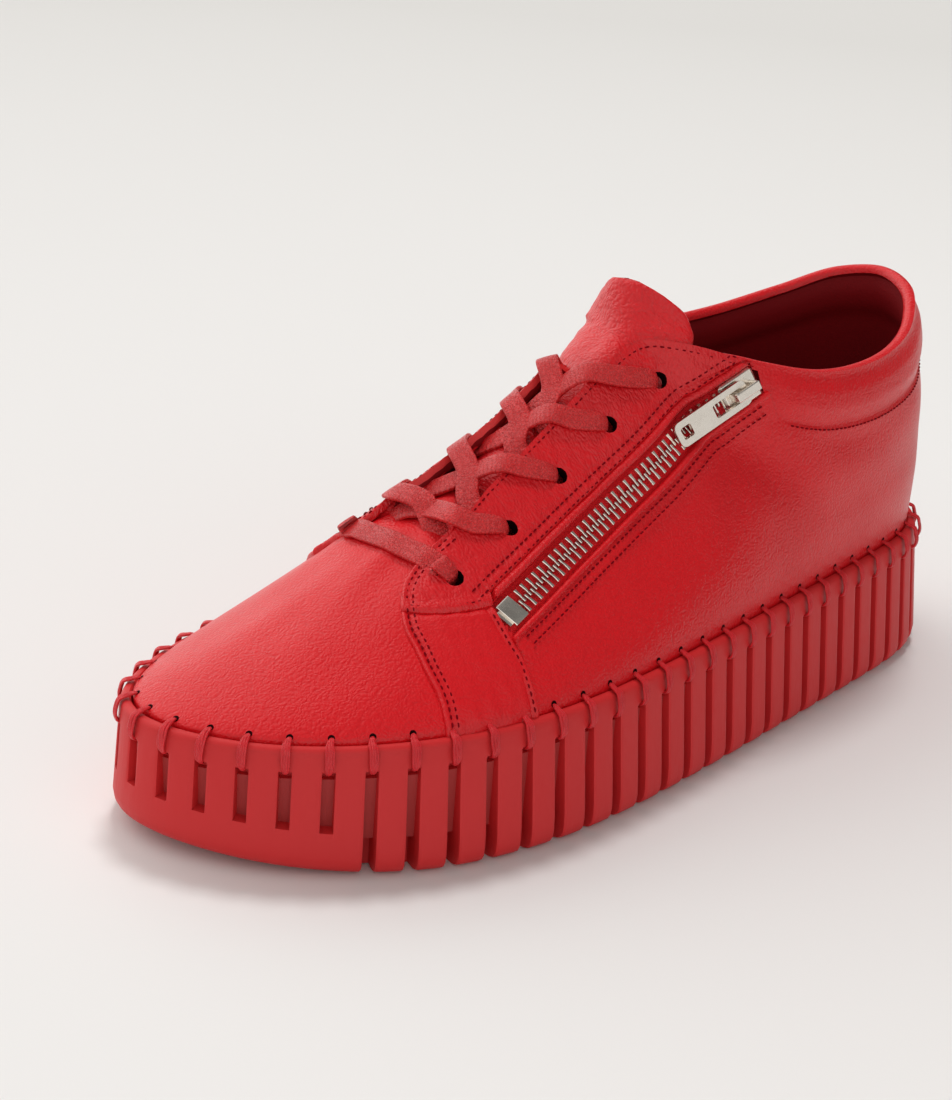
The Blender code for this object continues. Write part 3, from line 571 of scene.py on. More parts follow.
def braid(name, colour, second, threads, roughness, depth, coat, specular):
    def build(bench, place):
        weave = bench.group(WEAVE, {"Ribbon": place["UV"], "Threads": threads})
        drift = bench.drift(place, colour, second, {"Per metre": 60.0})
        # Painted shade: the braid's low parts between the threads are darkened.
        low = bench.spread(weave["Height"], 0.1, 0.8, 0.75, 0.0)
        shade = bench.blend(low, drift["Colour"], darker(second, 0.7))
        return {"Base Color": shade, "Normal": bench.bump(weave["Height"], 0.7, depth)}
    return finish(name, build, roughness=roughness, coat=coat, coat_roughness=0.3, specular=specular)


def rubber(name, colour, second, roughness, line_share, per_metre, depth):
    def build(bench, place):
        lines = bench.group(RIBS, {"Place": place["Object"], "Per metre": per_metre,
                                   "Line share": line_share})
        drift = bench.drift(place, colour, second, {"Per metre": 22.0, "Slow share": 0.5})
        rough = bench.spread(lines["Mask"], 0.3, 0.7, roughness - 0.05, roughness + 0.05)
        return {"Base Color": drift["Colour"], "Roughness": rough,
                "Normal": bench.bump(lines["Height"], 0.4, depth)}
    return finish(name, build, roughness=roughness, specular=0.28)


def metal(name, colour, second, roughness):
    def build(bench, place):
        drift = bench.drift(place, colour, second, {"Per metre": 400.0, "Slow share": 0.5})
        scratches = bench.group(RIBS, {"Place": place["Object"], "Per metre": 1800.0, "Line share": 0.6})
        rough = bench.spread(drift["Mask"], 0.3, 0.7, roughness - 0.06, roughness + 0.08)
        return {"Base Color": drift["Colour"], "Roughness": rough,
                "Normal": bench.bump(scratches["Height"], 0.12, 0.05)}
    return finish(name, build, roughness=roughness, metallic=1.0)


VAMP = leather("Smooth red leather", (0.690, 0.008, 0.013), (0.610, 0.006, 0.011), 0.70, 0.26, 0.21, 0.34,
               specular=0.34)
TUMBLED = leather("Tumbled red leather", (0.690, 0.009, 0.014), (0.590, 0.007, 0.012), 0.66, 0.34, 0.33,
                  0.33, (0.62, 1.25, 0.55), specular=0.40)
STRIP = leather("Strip leather", (0.680, 0.008, 0.013), (0.610, 0.006, 0.011), 0.62, 0.26, 0.14, 0.36,
                (1.0, 1.0, 0.8), specular=0.36)
# Lighter, pinker red on the stay's folded throat edge: painted highlight.
EDGE_HIGHLIGHT = leather("Folded leather edge, painted highlight", (0.74, 0.034, 0.034), (0.64, 0.020, 0.022), 0.5, 0.2, 0.10, 0.5)
# Dark red lining: its darkness paints the shade inside the shoe, under the stay's edge and under the tongue.
SHADED_LINING = leather("Red lining, painted shade", (0.22, 0.004, 0.007), (0.17, 0.003, 0.005), 0.5, 0.1, 0.06, 0.66,
                 specular=0.15)
SOCK = leather("Insole cover", (0.27, 0.008, 0.010), (0.22, 0.006, 0.008), 0.5, 0.1, 0.06, 0.66,
               specular=0.2)
# Near black for the insides of punched holes: painted shade.
HOLE_SHADE = leather("Punched hole, painted shade", (0.014, 0.001, 0.002), (0.010, 0.001, 0.001), 0.5, 0.1, 0.05, 0.85,
               specular=0.05)
SOLE = rubber("Matte red rubber", (0.600, 0.024, 0.026), (0.555, 0.020, 0.022), 0.50, 0.15, 2200.0, 0.05)
# Duller rubber for the slot backs, its darker, browner red painted shade of the slot recesses.
SHADED_SLOT_BACK = rubber("Slot back in painted shade", (0.420, 0.038, 0.036), (0.340, 0.028, 0.027), 0.62, 0.9, 2600.0, 0.16)
WAXED = braid("Waxed lace", (0.700, 0.028, 0.030), (0.470, 0.010, 0.012), 5.6, 0.33, 0.48, 0.2, 0.32)
THREAD = braid("Waxed sole thread", (0.760, 0.020, 0.030), (0.600, 0.012, 0.018), 3.0, 0.32, 0.10, 0.15,
               0.40)
# Dark red thread: its darkness paints the shade of the needle holes and seam grooves on top of the thread's
# own red.
SHADED_SEWING = braid("Sewing thread, dark as painted shade", (0.230, 0.002, 0.008), (0.170, 0.001, 0.005), 3.0, 0.7, 0.04, 0.0, 0.05)
# Bright red tape, set lighter than the leather's red to offset the shade it lies in beside the teeth: partly
# painted light.
LIFTED_TAPE = braid("Zip tape, painted light", (0.780, 0.016, 0.024), (0.620, 0.010, 0.016), 7.0, 0.75, 0.12, 0.0, 0.2)
NICKEL = metal("Polished nickel", (0.88, 0.82, 0.74), (0.74, 0.68, 0.60), 0.24)


# ---------------------------------------------------------------- making pieces
UP = np.array([0.0, 0.0, 1.0])


def sheet_faces(rows, columns, around=False):
    """Quads of a sheet of rows by columns of points; around joins its last column to its first."""
    last = columns if around else columns - 1
    row, column = np.meshgrid(np.arange(rows - 1), np.arange(last), indexing="ij")
    here, there = column.ravel(), (column.ravel() + 1) % columns
    low, high = row.ravel() * columns, (row.ravel() + 1) * columns
    return np.stack([low + here, low + there, high + there, high + here], 1)


class Work:
    """Collects the meshes of one piece."""

    def __init__(self):
        self.points, self.faces, self.uv, self.looks, self.count = [], [], [], [], 0

    def add(self, points, faces, uv=None, look=0):
        points, faces = np.asarray(points, float).reshape(-1, 3), np.asarray(faces)
        self.points.append(points)
        self.faces.append(faces + self.count)
        self.uv.append(np.asarray(np.zeros((len(points), 2)) if uv is None else uv, float).reshape(-1, 2))
        self.looks.append(np.broadcast_to(np.asarray(look), len(faces)))
        self.count += len(points)

    def make(self, name, looks, slot, replaces=(), body="shoe", crease=40.0):
        """Makes one piece of the collected meshes."""
        points, uv = np.vstack(self.points), np.vstack(self.uv)
        mesh = bpy.data.meshes.new(name)
        mesh.from_pydata((points * MM).tolist(), [], np.vstack(self.faces).tolist())
        corner = np.empty(len(mesh.loops), np.int32)
        mesh.loops.foreach_get("vertex_index", corner)
        mesh.uv_layers.new(name="Ribbon").data.foreach_set("uv", uv[corner].ravel())
        for look in looks:
            mesh.materials.append(look)
        mesh.polygons.foreach_set("material_index", np.concatenate(self.looks).astype(np.int32))
        mesh.polygons.foreach_set("use_smooth", np.ones(len(mesh.polygons), bool))
        mesh.set_sharp_from_angle(angle=math.radians(crease))
        made = bpy.data.objects.new(name, mesh)
        bpy.context.scene.collection.objects.link(made)
        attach(made, body)
        if replaces:
            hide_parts(*replaces)


def make_sheet(name, points, faces, looks, slot, replaces=(), uv=None, look=0, crease=40.0):
    """A piece of one sheet."""
    work = Work()
    work.add(points, faces, uv, look)
    work.make(name, looks, slot, replaces, crease=crease)


def smooth_line(rows, count=60):
    """A smooth line through a short table of places."""
    rows = np.asarray(rows, float)
    walked = along_length(rows)
    table = np.column_stack([walked, rows])
    return smooth_rows(table, np.linspace(0, walked[-1], count), odd=range(rows.shape[1]))


def skin(side, places, height=0.0):
    """Points and normals at (at, up) places on the leather, raised by height."""
    places = np.asarray(places, float)
    point, normal = upper_frame(side, places[..., 0].ravel(), places[..., 1].ravel())
    raised = point + normal * np.broadcast_to(height, places.shape[:-1]).ravel()[:, None]
    return raised.reshape(*places.shape[:-1], 3), normal.reshape(*places.shape[:-1], 3)


def path_frame(path, up):
    """The ways across and up at each point of a path, from a rough way up."""
    way = unit(np.gradient(path, axis=0))
    across = unit(np.cross(way, up))
    return across, np.cross(across, way)


CORD_SIDES = 6


def tube(work, path, radius, up):
    """A round cord along a path. up is a direction across it, radius one value or one for each point."""
    across, up = path_frame(path, up)
    radius = np.broadcast_to(radius, len(path))[:, None]
    angle = np.linspace(0, 2 * math.pi, CORD_SIDES, endpoint=False)
    ring = (path[:, None] + across[:, None] * (np.cos(angle) * radius)[..., None]
            + up[:, None] * (np.sin(angle) * radius)[..., None])
    uv = np.broadcast_arrays(angle / (2 * math.pi), along_length(path)[:, None] / 3.0)
    work.add(ring, sheet_faces(len(path), CORD_SIDES, True), np.stack(uv, -1))


# ---------------------------------------------------------------- rubber sole
FOOT_TALL = 8.0  # an open slot is cut deep up to this height
NOTCH_DEPTH = 4.2  # at a slot's top, where its loop goes in
NOTCH_TALL = 2.0
SHADED_BACK_ROWS = (8, 10, 12)  # rows of a slot's back in the darker rubber of painted shade: first in an open one, first in a closed one, last


def cup_sole():
    """The cup sole in rings from its underside up over the rim, with a slot for every loop."""
    pitch = RIM.length / SLOTS
    half = SLOT_WIDTH / 2
    across = (-half - 0.8, -half - 0.3, -half, 0.12 - half, 0.0, half - 0.12, half, half + 0.3, half + 0.8,
              pitch / 2 - 0.9, pitch / 2 + 0.9)
    soft = (0.0, 0.05, 0.22, 0, 0, 0, 0.22, 0.05, 0.0, 0.0, 0.0)
    inside = (0, 0, 0, 1, 1, 1, 0, 0, 0, 0, 0)
    arcs = np.concatenate([FIRST_SLOT + k * pitch + np.array(across) for k in range(SLOTS)])
    soft, inside = np.tile(soft, SLOTS), np.tile(inside, SLOTS).astype(bool)
    closed = np.repeat([k in WINDOWS for k in range(SLOTS)], len(across))
    point, outward = RIM.at(arcs)
    y = point[:, 1]
    rim, ground, lean = rim_height(y), ground_height(y), wall_lean(y)
    top, foot, dark = rim - SLOT_TOP, ground + WINDOW_FOOT, ground + FOOT_TALL
    open_slot = inside & ~closed
    soft_open, soft_window = np.where(closed, 0, soft), np.where(closed, soft, 0)

    def depth(height):
        return SLOT_DEPTH + (top - height) * SLOT_RAKE

    rings = []

    def ring(height, inset, edge=0.0):
        height = np.broadcast_to(height, len(arcs))
        out = (top - height) * lean - (inset + edge)
        rings.append(np.column_stack([point + outward * out[:, None], height]))

    ring(ground, 14.0)
    for rise, inset in ((0.0, 5.2), (0.15, 3.7), (0.6, 2.3), (1.4, 1.2), (2.6, 0.45), (4.6, 0.0)):
        ring(ground + rise, np.where(open_slot, max(inset, SLOT_FOOT), inset), soft_open * 2.0)
    ring(dark - 0.3, np.where(open_slot, SLOT_FOOT - 0.3, 0.0), soft_open)
    ring(dark, np.where(open_slot, depth(dark), 0.0), soft_open)
    ring(foot - 0.25, np.where(open_slot, depth(foot), 0.0), soft_open)
    ring(foot, np.where(inside, depth(foot), soft_window), soft_open)
    for share in (0.3, 0.6):
        height = foot + (top - NOTCH_TALL - foot) * share
        ring(height, np.where(inside, depth(height), 0.0), soft)
    ring(top - 2.2, np.where(inside, depth(top - 2.2), 0.0), soft)
    for fall in (NOTCH_TALL, 0.3):
        ring(top - fall, np.where(inside, NOTCH_DEPTH, 0.0), soft)
    ring(top, np.where(inside, 0.25, 0.0))
    ring(top + 0.4, 0.0)
    for fall, inset in ((2.4, 0.0), (1.1, 0.12), (0.45, 0.4), (0.1, 0.9), (0.0, 1.5)):
        ring(rim - fall, inset)
    ring(rim, RIM_WALL - 0.9)
    ring(rim - 0.4, RIM_WALL - 0.4)
    ring(rim * 0 + CUP_FLOOR, RIM_WALL + (top - CUP_FLOOR) * lean)
    count = len(arcs)
    faces = sheet_faces(len(rings), count, True)
    column = np.tile(np.arange(count), len(rings) - 1)
    row = np.repeat(np.arange(len(rings) - 1), count)
    in_slot = inside[column] & inside[(column + 1) % count]
    first = np.where(closed[column], SHADED_BACK_ROWS[1], SHADED_BACK_ROWS[0])
    shaded_back = in_slot & (row >= first) & (row <= SHADED_BACK_ROWS[2])
    work = Work()
    work.add(np.vstack(rings), faces, look=np.where(shaded_back, 1, 0))
    for ring_points in (rings[0], rings[-1]):
        add_lid(work, ring_points)
    work.make("cup_sole", [SOLE, SHADED_SLOT_BACK], "sole", ["outsole"], crease=35.0)


def add_lid(work, ring_points):
    """Closes a long ring by a ladder across it."""
    count = len(ring_points)
    left, right = np.arange(count // 2), count - 1 - np.arange(count // 2)
    faces = np.stack([left[:-1], left[1:], right[1:], right[:-1]], 1)
    work.add(ring_points, faces)


# ---------------------------------------------------------------- leather panels
COLLAR_SEAM = 0.80  # height of the seam under the padded collar
COLLAR_START = (0.67, 0.76)  # sections between which its padding begins

# Lines on the leather (at, up), outer side and inner side: the side strip's and the stay's edges.
STRIP_FRONT = {
    1: ((0.235, 0.0), (0.233, 0.131), (0.222, 0.315), (0.205, 0.437), (0.187, 0.536), (0.162, 0.636),
        (0.146, 0.708)),
    -1: ((0.300, 0.0), (0.296, 0.131), (0.280, 0.315), (0.258, 0.437), (0.236, 0.536), (0.214, 0.619)),
}
STAY_FRONT = {
    1: ((0.146, 0.708), (0.133, 0.771), (0.125, 0.822), (0.124, 0.86), (0.127, 0.90), (0.137, 0.934),
        (0.152, 0.965), (0.178, 1.0)),
    -1: ((0.214, 0.619), (0.213, 0.677), (0.192, 0.770), (0.164, 0.845), (0.154, 0.90), (0.158, 0.95),
         (0.172, 0.98), (0.190, 1.0)),
}
# The seam between the stay and the side strip.
CROSS_SEAM = {
    1: ((0.146, 0.708), (0.180, 0.672), (0.214, 0.640), (0.248, 0.608), (0.282, 0.580)),
    -1: ((0.214, 0.619), (0.244, 0.594), (0.276, 0.570), (0.308, 0.550), (0.340, 0.535)),
}
STRIP_REAR = {
    1: ((0.314, 0.0), (0.310, 0.222), (0.306, 0.344), (0.300, 0.410), (0.292, 0.494), (0.282, 0.580)),
    -1: ((0.372, 0.0), (0.366, 0.222), (0.358, 0.410), (0.350, 0.480), (0.340, 0.535)),
}
INNER_FOOT = ((0.340, 0.535), (0.380, 0.575), (0.440, 0.635), (0.538, 0.705), (0.640, 0.790), (0.70, 0.94))
STAY_END = 0.70
STAY_THICK, STRIP_THICK = 1.15, 0.95
STAY_CELL, STRIP_CELL = 0.8, 1.0  # spacing of their points
STAY_BY_ZIP = 6.2  # from the zip's middle line to the stay's edge
NEAR_TOP = 0.985  # a height just below the opening's edge
SLIT_HALF = 4.4


def collar_pad(at, up):
    """How much the padding swells the collar: largest a little under its edge."""
    swell = ease(at, *COLLAR_START) * ease(up, COLLAR_SEAM, COLLAR_SEAM + 0.09)
    return swell * (1 - 0.75 * ease(up, 0.93, 1.0))


def seam_dip(at, up):
    """The collar's seam line, as a narrow groove."""
    return ease(at, 0.70, 0.74) * np.exp(-((up - COLLAR_SEAM) / 0.011) ** 2)


def soft_folds(side, at, up):
    """Slow hollows and ridges of worn-in leather."""
    vamp = ease(up, 0.25, 0.6) * (1 - ease(at, 0.30, 0.40))
    wave = np.sin(at * side * 61 + up * 7) * 0.10 + np.sin(at * 23 - up * 11) * 0.12
    quarter = hump(at, 0.34, 0.45, 0.92, 0.99) * hump(up, 0.1, 0.35, 0.7, 0.8)
    slack = np.sin(at * 37 + up * 9) * 0.22 + np.sin(at * 19 - up * 15 + 1) * 0.2
    return vamp * wave + quarter * slack


APRON_SINK = 1.6  # the vamp's free edge lies this far down, under the leather sewn over it


def under_apron(at, up):
    """Where the vamp goes under the soft leather that joins it to the tongue."""
    line = np.interp(at, *np.array(BAR).T)
    return ease(up - line, 0.002, 0.03) * (1 - ease(at, 0.17, 0.21))


def leather_columns(each_side):
    """The sides and sections of columns all round the shoe, from the toe along the outer side."""
    at = np.linspace(0, 1, each_side + 1)
    sides = np.concatenate([np.ones(each_side + 1), -np.ones(each_side - 1)])
    return sides, np.concatenate([at, at[-2:0:-1]])


def around_frame(sides, at, up):
    """Points and normals of both sides together."""
    point, normal = np.empty((len(at), 3)), np.empty((len(at), 3))
    for side in (1, -1):
        mine = sides == side
        point[mine], normal[mine] = upper_frame(side, at[mine], np.full(mine.sum(), up))
    return point, normal


ZIP_STEPS = 160
ZIP_REACH = 6.0  # leather farther out or in than this isn't the zip's
SLIT_HEAD = -1.2  # where the slit ends, from the zip's head
PAST_HEAD = 9.0  # how far past the head its cut edges are straightened


def from_zip(points, head):
    """Distances from the zip's middle line: across, outwards and past its ends; and the way across."""
    samples = [zip_frame(d) for d in np.linspace(-1.0, ZIP_LENGTH + head, ZIP_STEPS)]
    centre, way, across, normal = (np.array(part) for part in zip(*samples))
    gap = points[:, None] - centre[None]
    nearest = np.argmin((gap**2).sum(2), axis=1)
    gap = gap[np.arange(len(points)), nearest]
    parts = [(gap * axis[nearest]).sum(1) for axis in (across, normal, way)]
    return (*parts, across[nearest])


def over_slit(points, half):
    """Which points lie over the zip's slit. It ends a little before the zip does."""
    sideways, off, length, _ = from_zip(points, SLIT_HEAD)
    near = (np.abs(sideways) < half) & (np.abs(off) < ZIP_REACH) & (np.abs(length) < 1.5)
    return near & (points[:, 0] > 5)


def edges_of(faces):
    """The corners at both ends of each face's edges, the lower one first."""
    return np.sort(np.stack([faces, np.roll(faces, -1, 1)], -1).reshape(-1, 2), axis=1)


def snap_to_slit(points, faces, half):
    """Straightens the cut edges beside the zip."""
    single, uses = np.unique(edges_of(faces), axis=0, return_counts=True)
    rim = np.unique(single[uses == 1])
    rim = rim[points[rim, 0] > 5]
    sideways, off, length, across = from_zip(points[rim], PAST_HEAD)
    beside_slit = np.abs(np.abs(sideways) - half) < 1.7
    mine = beside_slit & (np.abs(off) < ZIP_REACH) & (np.abs(length) < 1.0)
    points = points.copy()
    points[rim[mine]] += across[mine] * ((np.sign(sideways) * half - sideways)[mine])[:, None]
    return points


PUNCH_REACH = 5.0  # how deep a punch goes


def punch(points, faces, centre, normal, radius, wall=0.0, lip=0.25):
    """Cuts a round hole in a fine sheet. wall is the depth of its side, lip how far its edge sinks."""
    def from_axis(places):
        rise = (places - centre) @ normal
        flat = places - centre - rise[:, None] * normal
        return rise, flat, np.linalg.norm(flat, axis=1)

    rise, flat, reach = from_axis(points)
    lift, _, spread = from_axis(points[faces].mean(1))
    gone = (spread < radius) & (np.abs(lift) < PUNCH_REACH)
    points = points.copy()
    rim = np.intersect1d(np.unique(faces[gone]), np.unique(faces[~gone]))
    points[rim] = centre + flat[rim] / reach[rim][:, None] * radius + (rise[rim] - lip)[:, None] * normal
    beside = (np.abs(rise) < PUNCH_REACH) & (reach > radius) & (reach < radius + 1.0)
    beside[rim] = False
    points[beside] -= normal * (lip * (1 - (reach[beside] - radius)))[:, None]
    kept = faces[~gone]
    walls = []
    if wall:
        edges = np.stack([faces[gone], np.roll(faces[gone], -1, 1)], -1).reshape(-1, 2)
        both = {tuple(edge) for edge in edges_of(kept).tolist()}
        edges = [e for e in edges.tolist() if tuple(sorted(e)) in both]
        lower, extra = {}, []
        for a, b in edges:
            for v in (a, b):
                if v not in lower:
                    lower[v] = len(points) + len(extra)
                    extra.append(points[v] - normal * wall)
            walls.append((a, b, lower[b], lower[a]))
        points = np.vstack([points, extra])
    return points, kept, np.array(walls, int).reshape(-1, 4)


def open_leather(points, faces, cut, edge):
    """Opens the zip's slit and the eyelet holes. The slit is widened by cut, its edges moved by edge."""
    faces = faces[~over_slit(points[faces].mean(1), SLIT_HALF + cut)]
    points = snap_to_slit(points, faces, SLIT_HALF + edge)
    for side in (1, -1):
        for row in range(len(EYELETS)):
            points, faces, _ = punch(points, faces, *eyelet(side, row), EYELET_RADIUS + 0.4, lip=0.0)
    return points, faces


COLUMNS_A_SIDE, LEATHER_ROWS, LINING_ROWS = 250, 82, 44
TUCKED = 5.0  # how far the leather goes down inside the rim


def shell():
    """The one-piece leather under the overlays, with its rolled top edge, and the lining in it."""
    sides, at = leather_columns(COLUMNS_A_SIDE)
    count = len(at)
    sunk = hump(at, 0.15, 0.19, 0.66, 0.70)[:, None]
    base, outward = around_frame(sides, at, 0.0)
    rows = [base - outward * 0.3 - UP * TUCKED]
    for up in (0.0, *np.linspace(0.012, 0.988, LEATHER_ROWS), 1.0):
        point, normal = around_frame(sides, at, up)
        swell = 1.5 * collar_pad(at, up) - 0.5 * seam_dip(at, up) + soft_folds(sides, at, up)
        swell -= APRON_SINK * under_apron(at, up)
        rows.append(point + normal * swell[:, None])
    top, out = around_frame(sides, at, 1.0)
    lower, _ = around_frame(sides, at, NEAR_TOP)
    rise = unit(top - lower)
    rows[-1] = rows[-1] - (rise * 1.4 + out * 0.5) * sunk
    rows[-2] = rows[-2] - (rise * 0.7 + out * 0.5) * sunk
    puff = (0.9 * ease(at, *COLLAR_START))[:, None]
    top = top - out * APRON_SINK * under_apron(at, 1.0)[:, None]
    middle = top - out * WALL / 2 - rise * 1.4 * sunk
    for angle in np.radians((35, 65, 90, 115, 145, 180)):
        half = WALL / 2 + puff
        rows.append(middle + out * half * math.cos(angle) + rise * (half * 0.85) * math.sin(angle))
    opened = open_leather(np.vstack(rows), sheet_faces(len(rows), count, True), -0.2, 0.0)
    make_sheet("vamp_and_quarters", *opened, [VAMP], "leather", ["upper"])
    inner = [rows[-1]]
    for up in np.linspace(NEAR_TOP, 0.0, LINING_ROWS):
        point, normal = around_frame(sides, at, up)
        swell = WALL + 1.6 * collar_pad(at, up) * ease(1 - up, 0.0, 0.05)
        place = point - normal * swell[:, None]
        if up > 0.95:
            place = place - rise * 1.4 * sunk
        inner.append(place)
    inner.append(inner[-1] * [1, 1, 0] + [0, 0, CUP_FLOOR + 0.4])
    opened = open_leather(np.vstack(inner), sheet_faces(len(inner), count, True)[:, ::-1], 0.6, 0.6)
    make_sheet("lining", *opened, [SHADED_LINING], "lining")


STEPS = (0.0, 0.0, 0.12, 0.35, 0.7, 1.2, 2.0)  # rows from a raised edge inwards, the first one sunk


def edge_steps(length, count, low, high):
    """Fractions across a panel, with close steps at raised edges, and the distance to them."""
    start = [s / length for s in STEPS] if low else [0.0]
    stop = [1 - s / length for s in STEPS[::-1]] if high else [1.0]
    middle = np.linspace(start[-1], stop[0], count)[1:-1]
    share = np.concatenate([start, middle, stop])
    far = np.full(len(share), 99.0)
    if low:
        far = np.minimum(far, share * length)
        far[0] = -1
    if high:
        far = np.minimum(far, (1 - share) * length)
        far[-1] = -1
    return share, far


FOLD_GROOVE = 0.35  # depth of the groove behind a folded edge
FOLD_RIDGE = 0.22


def panel(side, front, back, foot, head, cell, thick, edges):
    """A raised panel between four lines of (at, up) places: its places and heights."""
    lines = [np.asarray(line, float) for line in (front, back, foot, head)]
    lengths = [along_length(skin(side, line)[0])[-1] for line in lines]
    tall, wide = (lengths[0] + lengths[1]) / 2, (lengths[2] + lengths[3]) / 2
    t, t_far = edge_steps(tall, max(int(tall / cell), 4), edges[0], edges[1])
    s, s_far = edge_steps(wide, max(int(wide / cell), 4), edges[2], edges[3])

    def at_share(line, share):
        walked = along_length(skin(side, line)[0])
        return between(share, walked / walked[-1], line)

    left, right, low, high = (at_share(line, share) for line, share in zip(lines, (t, t, s, s)))
    tt, ss = t[:, None, None], s[None, :, None]
    corners = ((1 - ss) * (1 - tt) * low[0] + ss * (1 - tt) * low[-1]
               + (1 - ss) * tt * high[0] + ss * tt * high[-1])
    places = ((1 - tt) * low[None] + tt * high[None]
              + (1 - ss) * left[:, None] + ss * right[:, None] - corners)
    far = np.minimum(t_far[:, None], s_far[None, :])
    far_edge = np.clip(far, 0, 1.0)
    height = thick * (0.45 + 0.55 * np.sqrt(1 - (1 - far_edge) ** 2))
    groove = FOLD_GROOVE * np.exp(-((far - 1.9) / 0.5) ** 2)
    ridge = FOLD_RIDGE * np.exp(-((far - 0.55) / 0.3) ** 2)
    return places, np.where(far < 0, -0.5, height - groove + ridge)


SIDE_NAME = {1: "outer", -1: "inner"}
EDGE_HIGHLIGHT_LOOK, HOLE_SHADE_LOOK, UNDER_LOOK = 1, 2, 3


def stay_panel(side):
    """The eyelet stay: folded at its edges, punched for the laces, with a thick band at the throat."""
    front = smooth_line(STAY_FRONT[side])
    head = np.column_stack([np.linspace(STAY_FRONT[side][-1][0], STAY_END, 120), np.ones(120)])
    cross = smooth_line(CROSS_SEAM[side])
    rest = zip_side_line(STAY_BY_ZIP) if side > 0 else smooth_line(INNER_FOOT)
    foot = np.vstack([cross, rest])
    back = np.array([foot[-1], head[-1]])
    edges = (True, False, True, False)
    points, normals = skin(side, *panel(side, front, back, foot, head, STAY_CELL, STAY_THICK, edges))
    points = points + normals * (leather_crumple(points) * 0.16)[..., None]
    rows, columns = points.shape[:2]
    edge, out = points[-1], normals[-1]
    rise = unit(points[-1] - points[-4])
    band = [edge - out * d for d in (0.12, 0.45, 1.0, 1.7)]
    band += [edge - out * d - rise * r for d, r in ((2.0, 0.35), (2.5, 1.0), (3.1, 2.4), (3.2, 5.5))]
    flat = np.vstack([points.reshape(-1, 3), *band])
    faces = sheet_faces(rows + len(band), columns)
    row_of = np.repeat(np.arange(rows + len(band) - 1), columns - 1)
    # The band's first rows take the lighter edge leather as a painted highlight, the rows under it the dark
    # lining as painted shade.
    looks = np.where(row_of >= rows + 3, UNDER_LOOK, np.where(row_of >= rows - 1, EDGE_HIGHLIGHT_LOOK, 0))
    look_of = {tuple(sorted(f)): look for f, look in zip(faces.tolist(), looks)}
    hole_walls = []
    for row in range(len(EYELETS)):
        centre, normal = eyelet(side, row)
        flat, faces, walls = punch(flat, faces, centre + normal * STAY_THICK, normal, EYELET_RADIUS, 3.0)
        hole_walls.append(walls)
    looks = np.array([look_of[tuple(sorted(f))] for f in faces.tolist()])
    walls = np.vstack(hole_walls)
    # The eyelet holes' walls are near black: painted shade inside the holes.
    make_sheet(f"eyelet_stay_{SIDE_NAME[side]}", flat, np.vstack([faces, walls]),
               [TUMBLED, EDGE_HIGHLIGHT, HOLE_SHADE, SHADED_LINING], "leather",
               look=np.concatenate([looks, np.full(len(walls), HOLE_SHADE_LOOK)]))


def leather_crumple(points):
    """Small pulls in tumbled leather."""
    x, y, z = points[..., 0], points[..., 1], points[..., 2]
    return (np.sin(y * 0.9 + z * 1.7 + np.sin(x * 0.8) * 2) * 0.5 + np.sin(y * 1.9 - z * 0.8 + 1.3) * 0.35
            + np.sin(y * 0.35 + z * 0.4) * 0.6)


def side_strip(side):
    """The strip from the stay down to the sole."""
    front, back = smooth_line(STRIP_FRONT[side]), smooth_line(STRIP_REAR[side])
    low = np.column_stack([np.linspace(front[0, 0], back[0, 0], 30), np.zeros(30)])
    places, height = panel(side, front, back, low, smooth_line(CROSS_SEAM[side]), STRIP_CELL,
                           STRIP_THICK, (False, False, True, True))
    points, _ = skin(side, places, height)
    to_seam = along_length(points[::-1, points.shape[1] // 2])[::-1]
    points, normals = skin(side, places, height - 0.7 * np.exp(-((to_seam / 0.7) ** 2))[:, None])
    points = points + normals * (leather_crumple(points * 0.8) * 0.12)[..., None]
    rows, columns = points.shape[:2]
    skirt = points[:1] - UP * 4.0
    make_sheet(f"side_strip_{SIDE_NAME[side]}", np.vstack([skirt, points]),
               sheet_faces(rows + 1, columns), [STRIP], "leather")


# ---------------------------------------------------------------- zip
def place_on_skin(points, guess):
    """(at, up) on the outer side for points given by their y and z, from a guess close by."""
    at, up = guess
    step = 1e-4
    for _ in range(25):
        here = upper_surface(1, at, up)[:, 1:]
        by_at = (upper_surface(1, at + step, up)[:, 1:] - here) / step
        by_up = (upper_surface(1, at, up + step)[:, 1:] - here) / step
        want = points[:, 1:] - here
        det = by_at[:, 0] * by_up[:, 1] - by_at[:, 1] * by_up[:, 0]
        d_at = (want[:, 0] * by_up[:, 1] - want[:, 1] * by_up[:, 0]) / det
        d_up = (by_at[:, 0] * want[:, 1] - by_at[:, 1] * want[:, 0]) / det
        at = np.clip(at + np.clip(d_at, -0.05, 0.05), 0.02, 0.98)
        up = np.clip(up + np.clip(d_up, -0.05, 0.05), 0.0, 1.0)
    return np.column_stack([at, up])


def zip_side_line(offset, foot=1.5, head=0.0, count=80):
    """(at, up) places of a line beside the zip, offset upwards from its middle."""
    spots = []
    for distance in np.linspace(foot, ZIP_LENGTH + head, count):
        point, _, across, _ = zip_frame(distance)
        spots.append(point + across * offset)
    share = np.linspace(0, 1, count)
    return place_on_skin(np.array(spots), (0.30 + share * 0.38, 0.55 + share * 0.35))


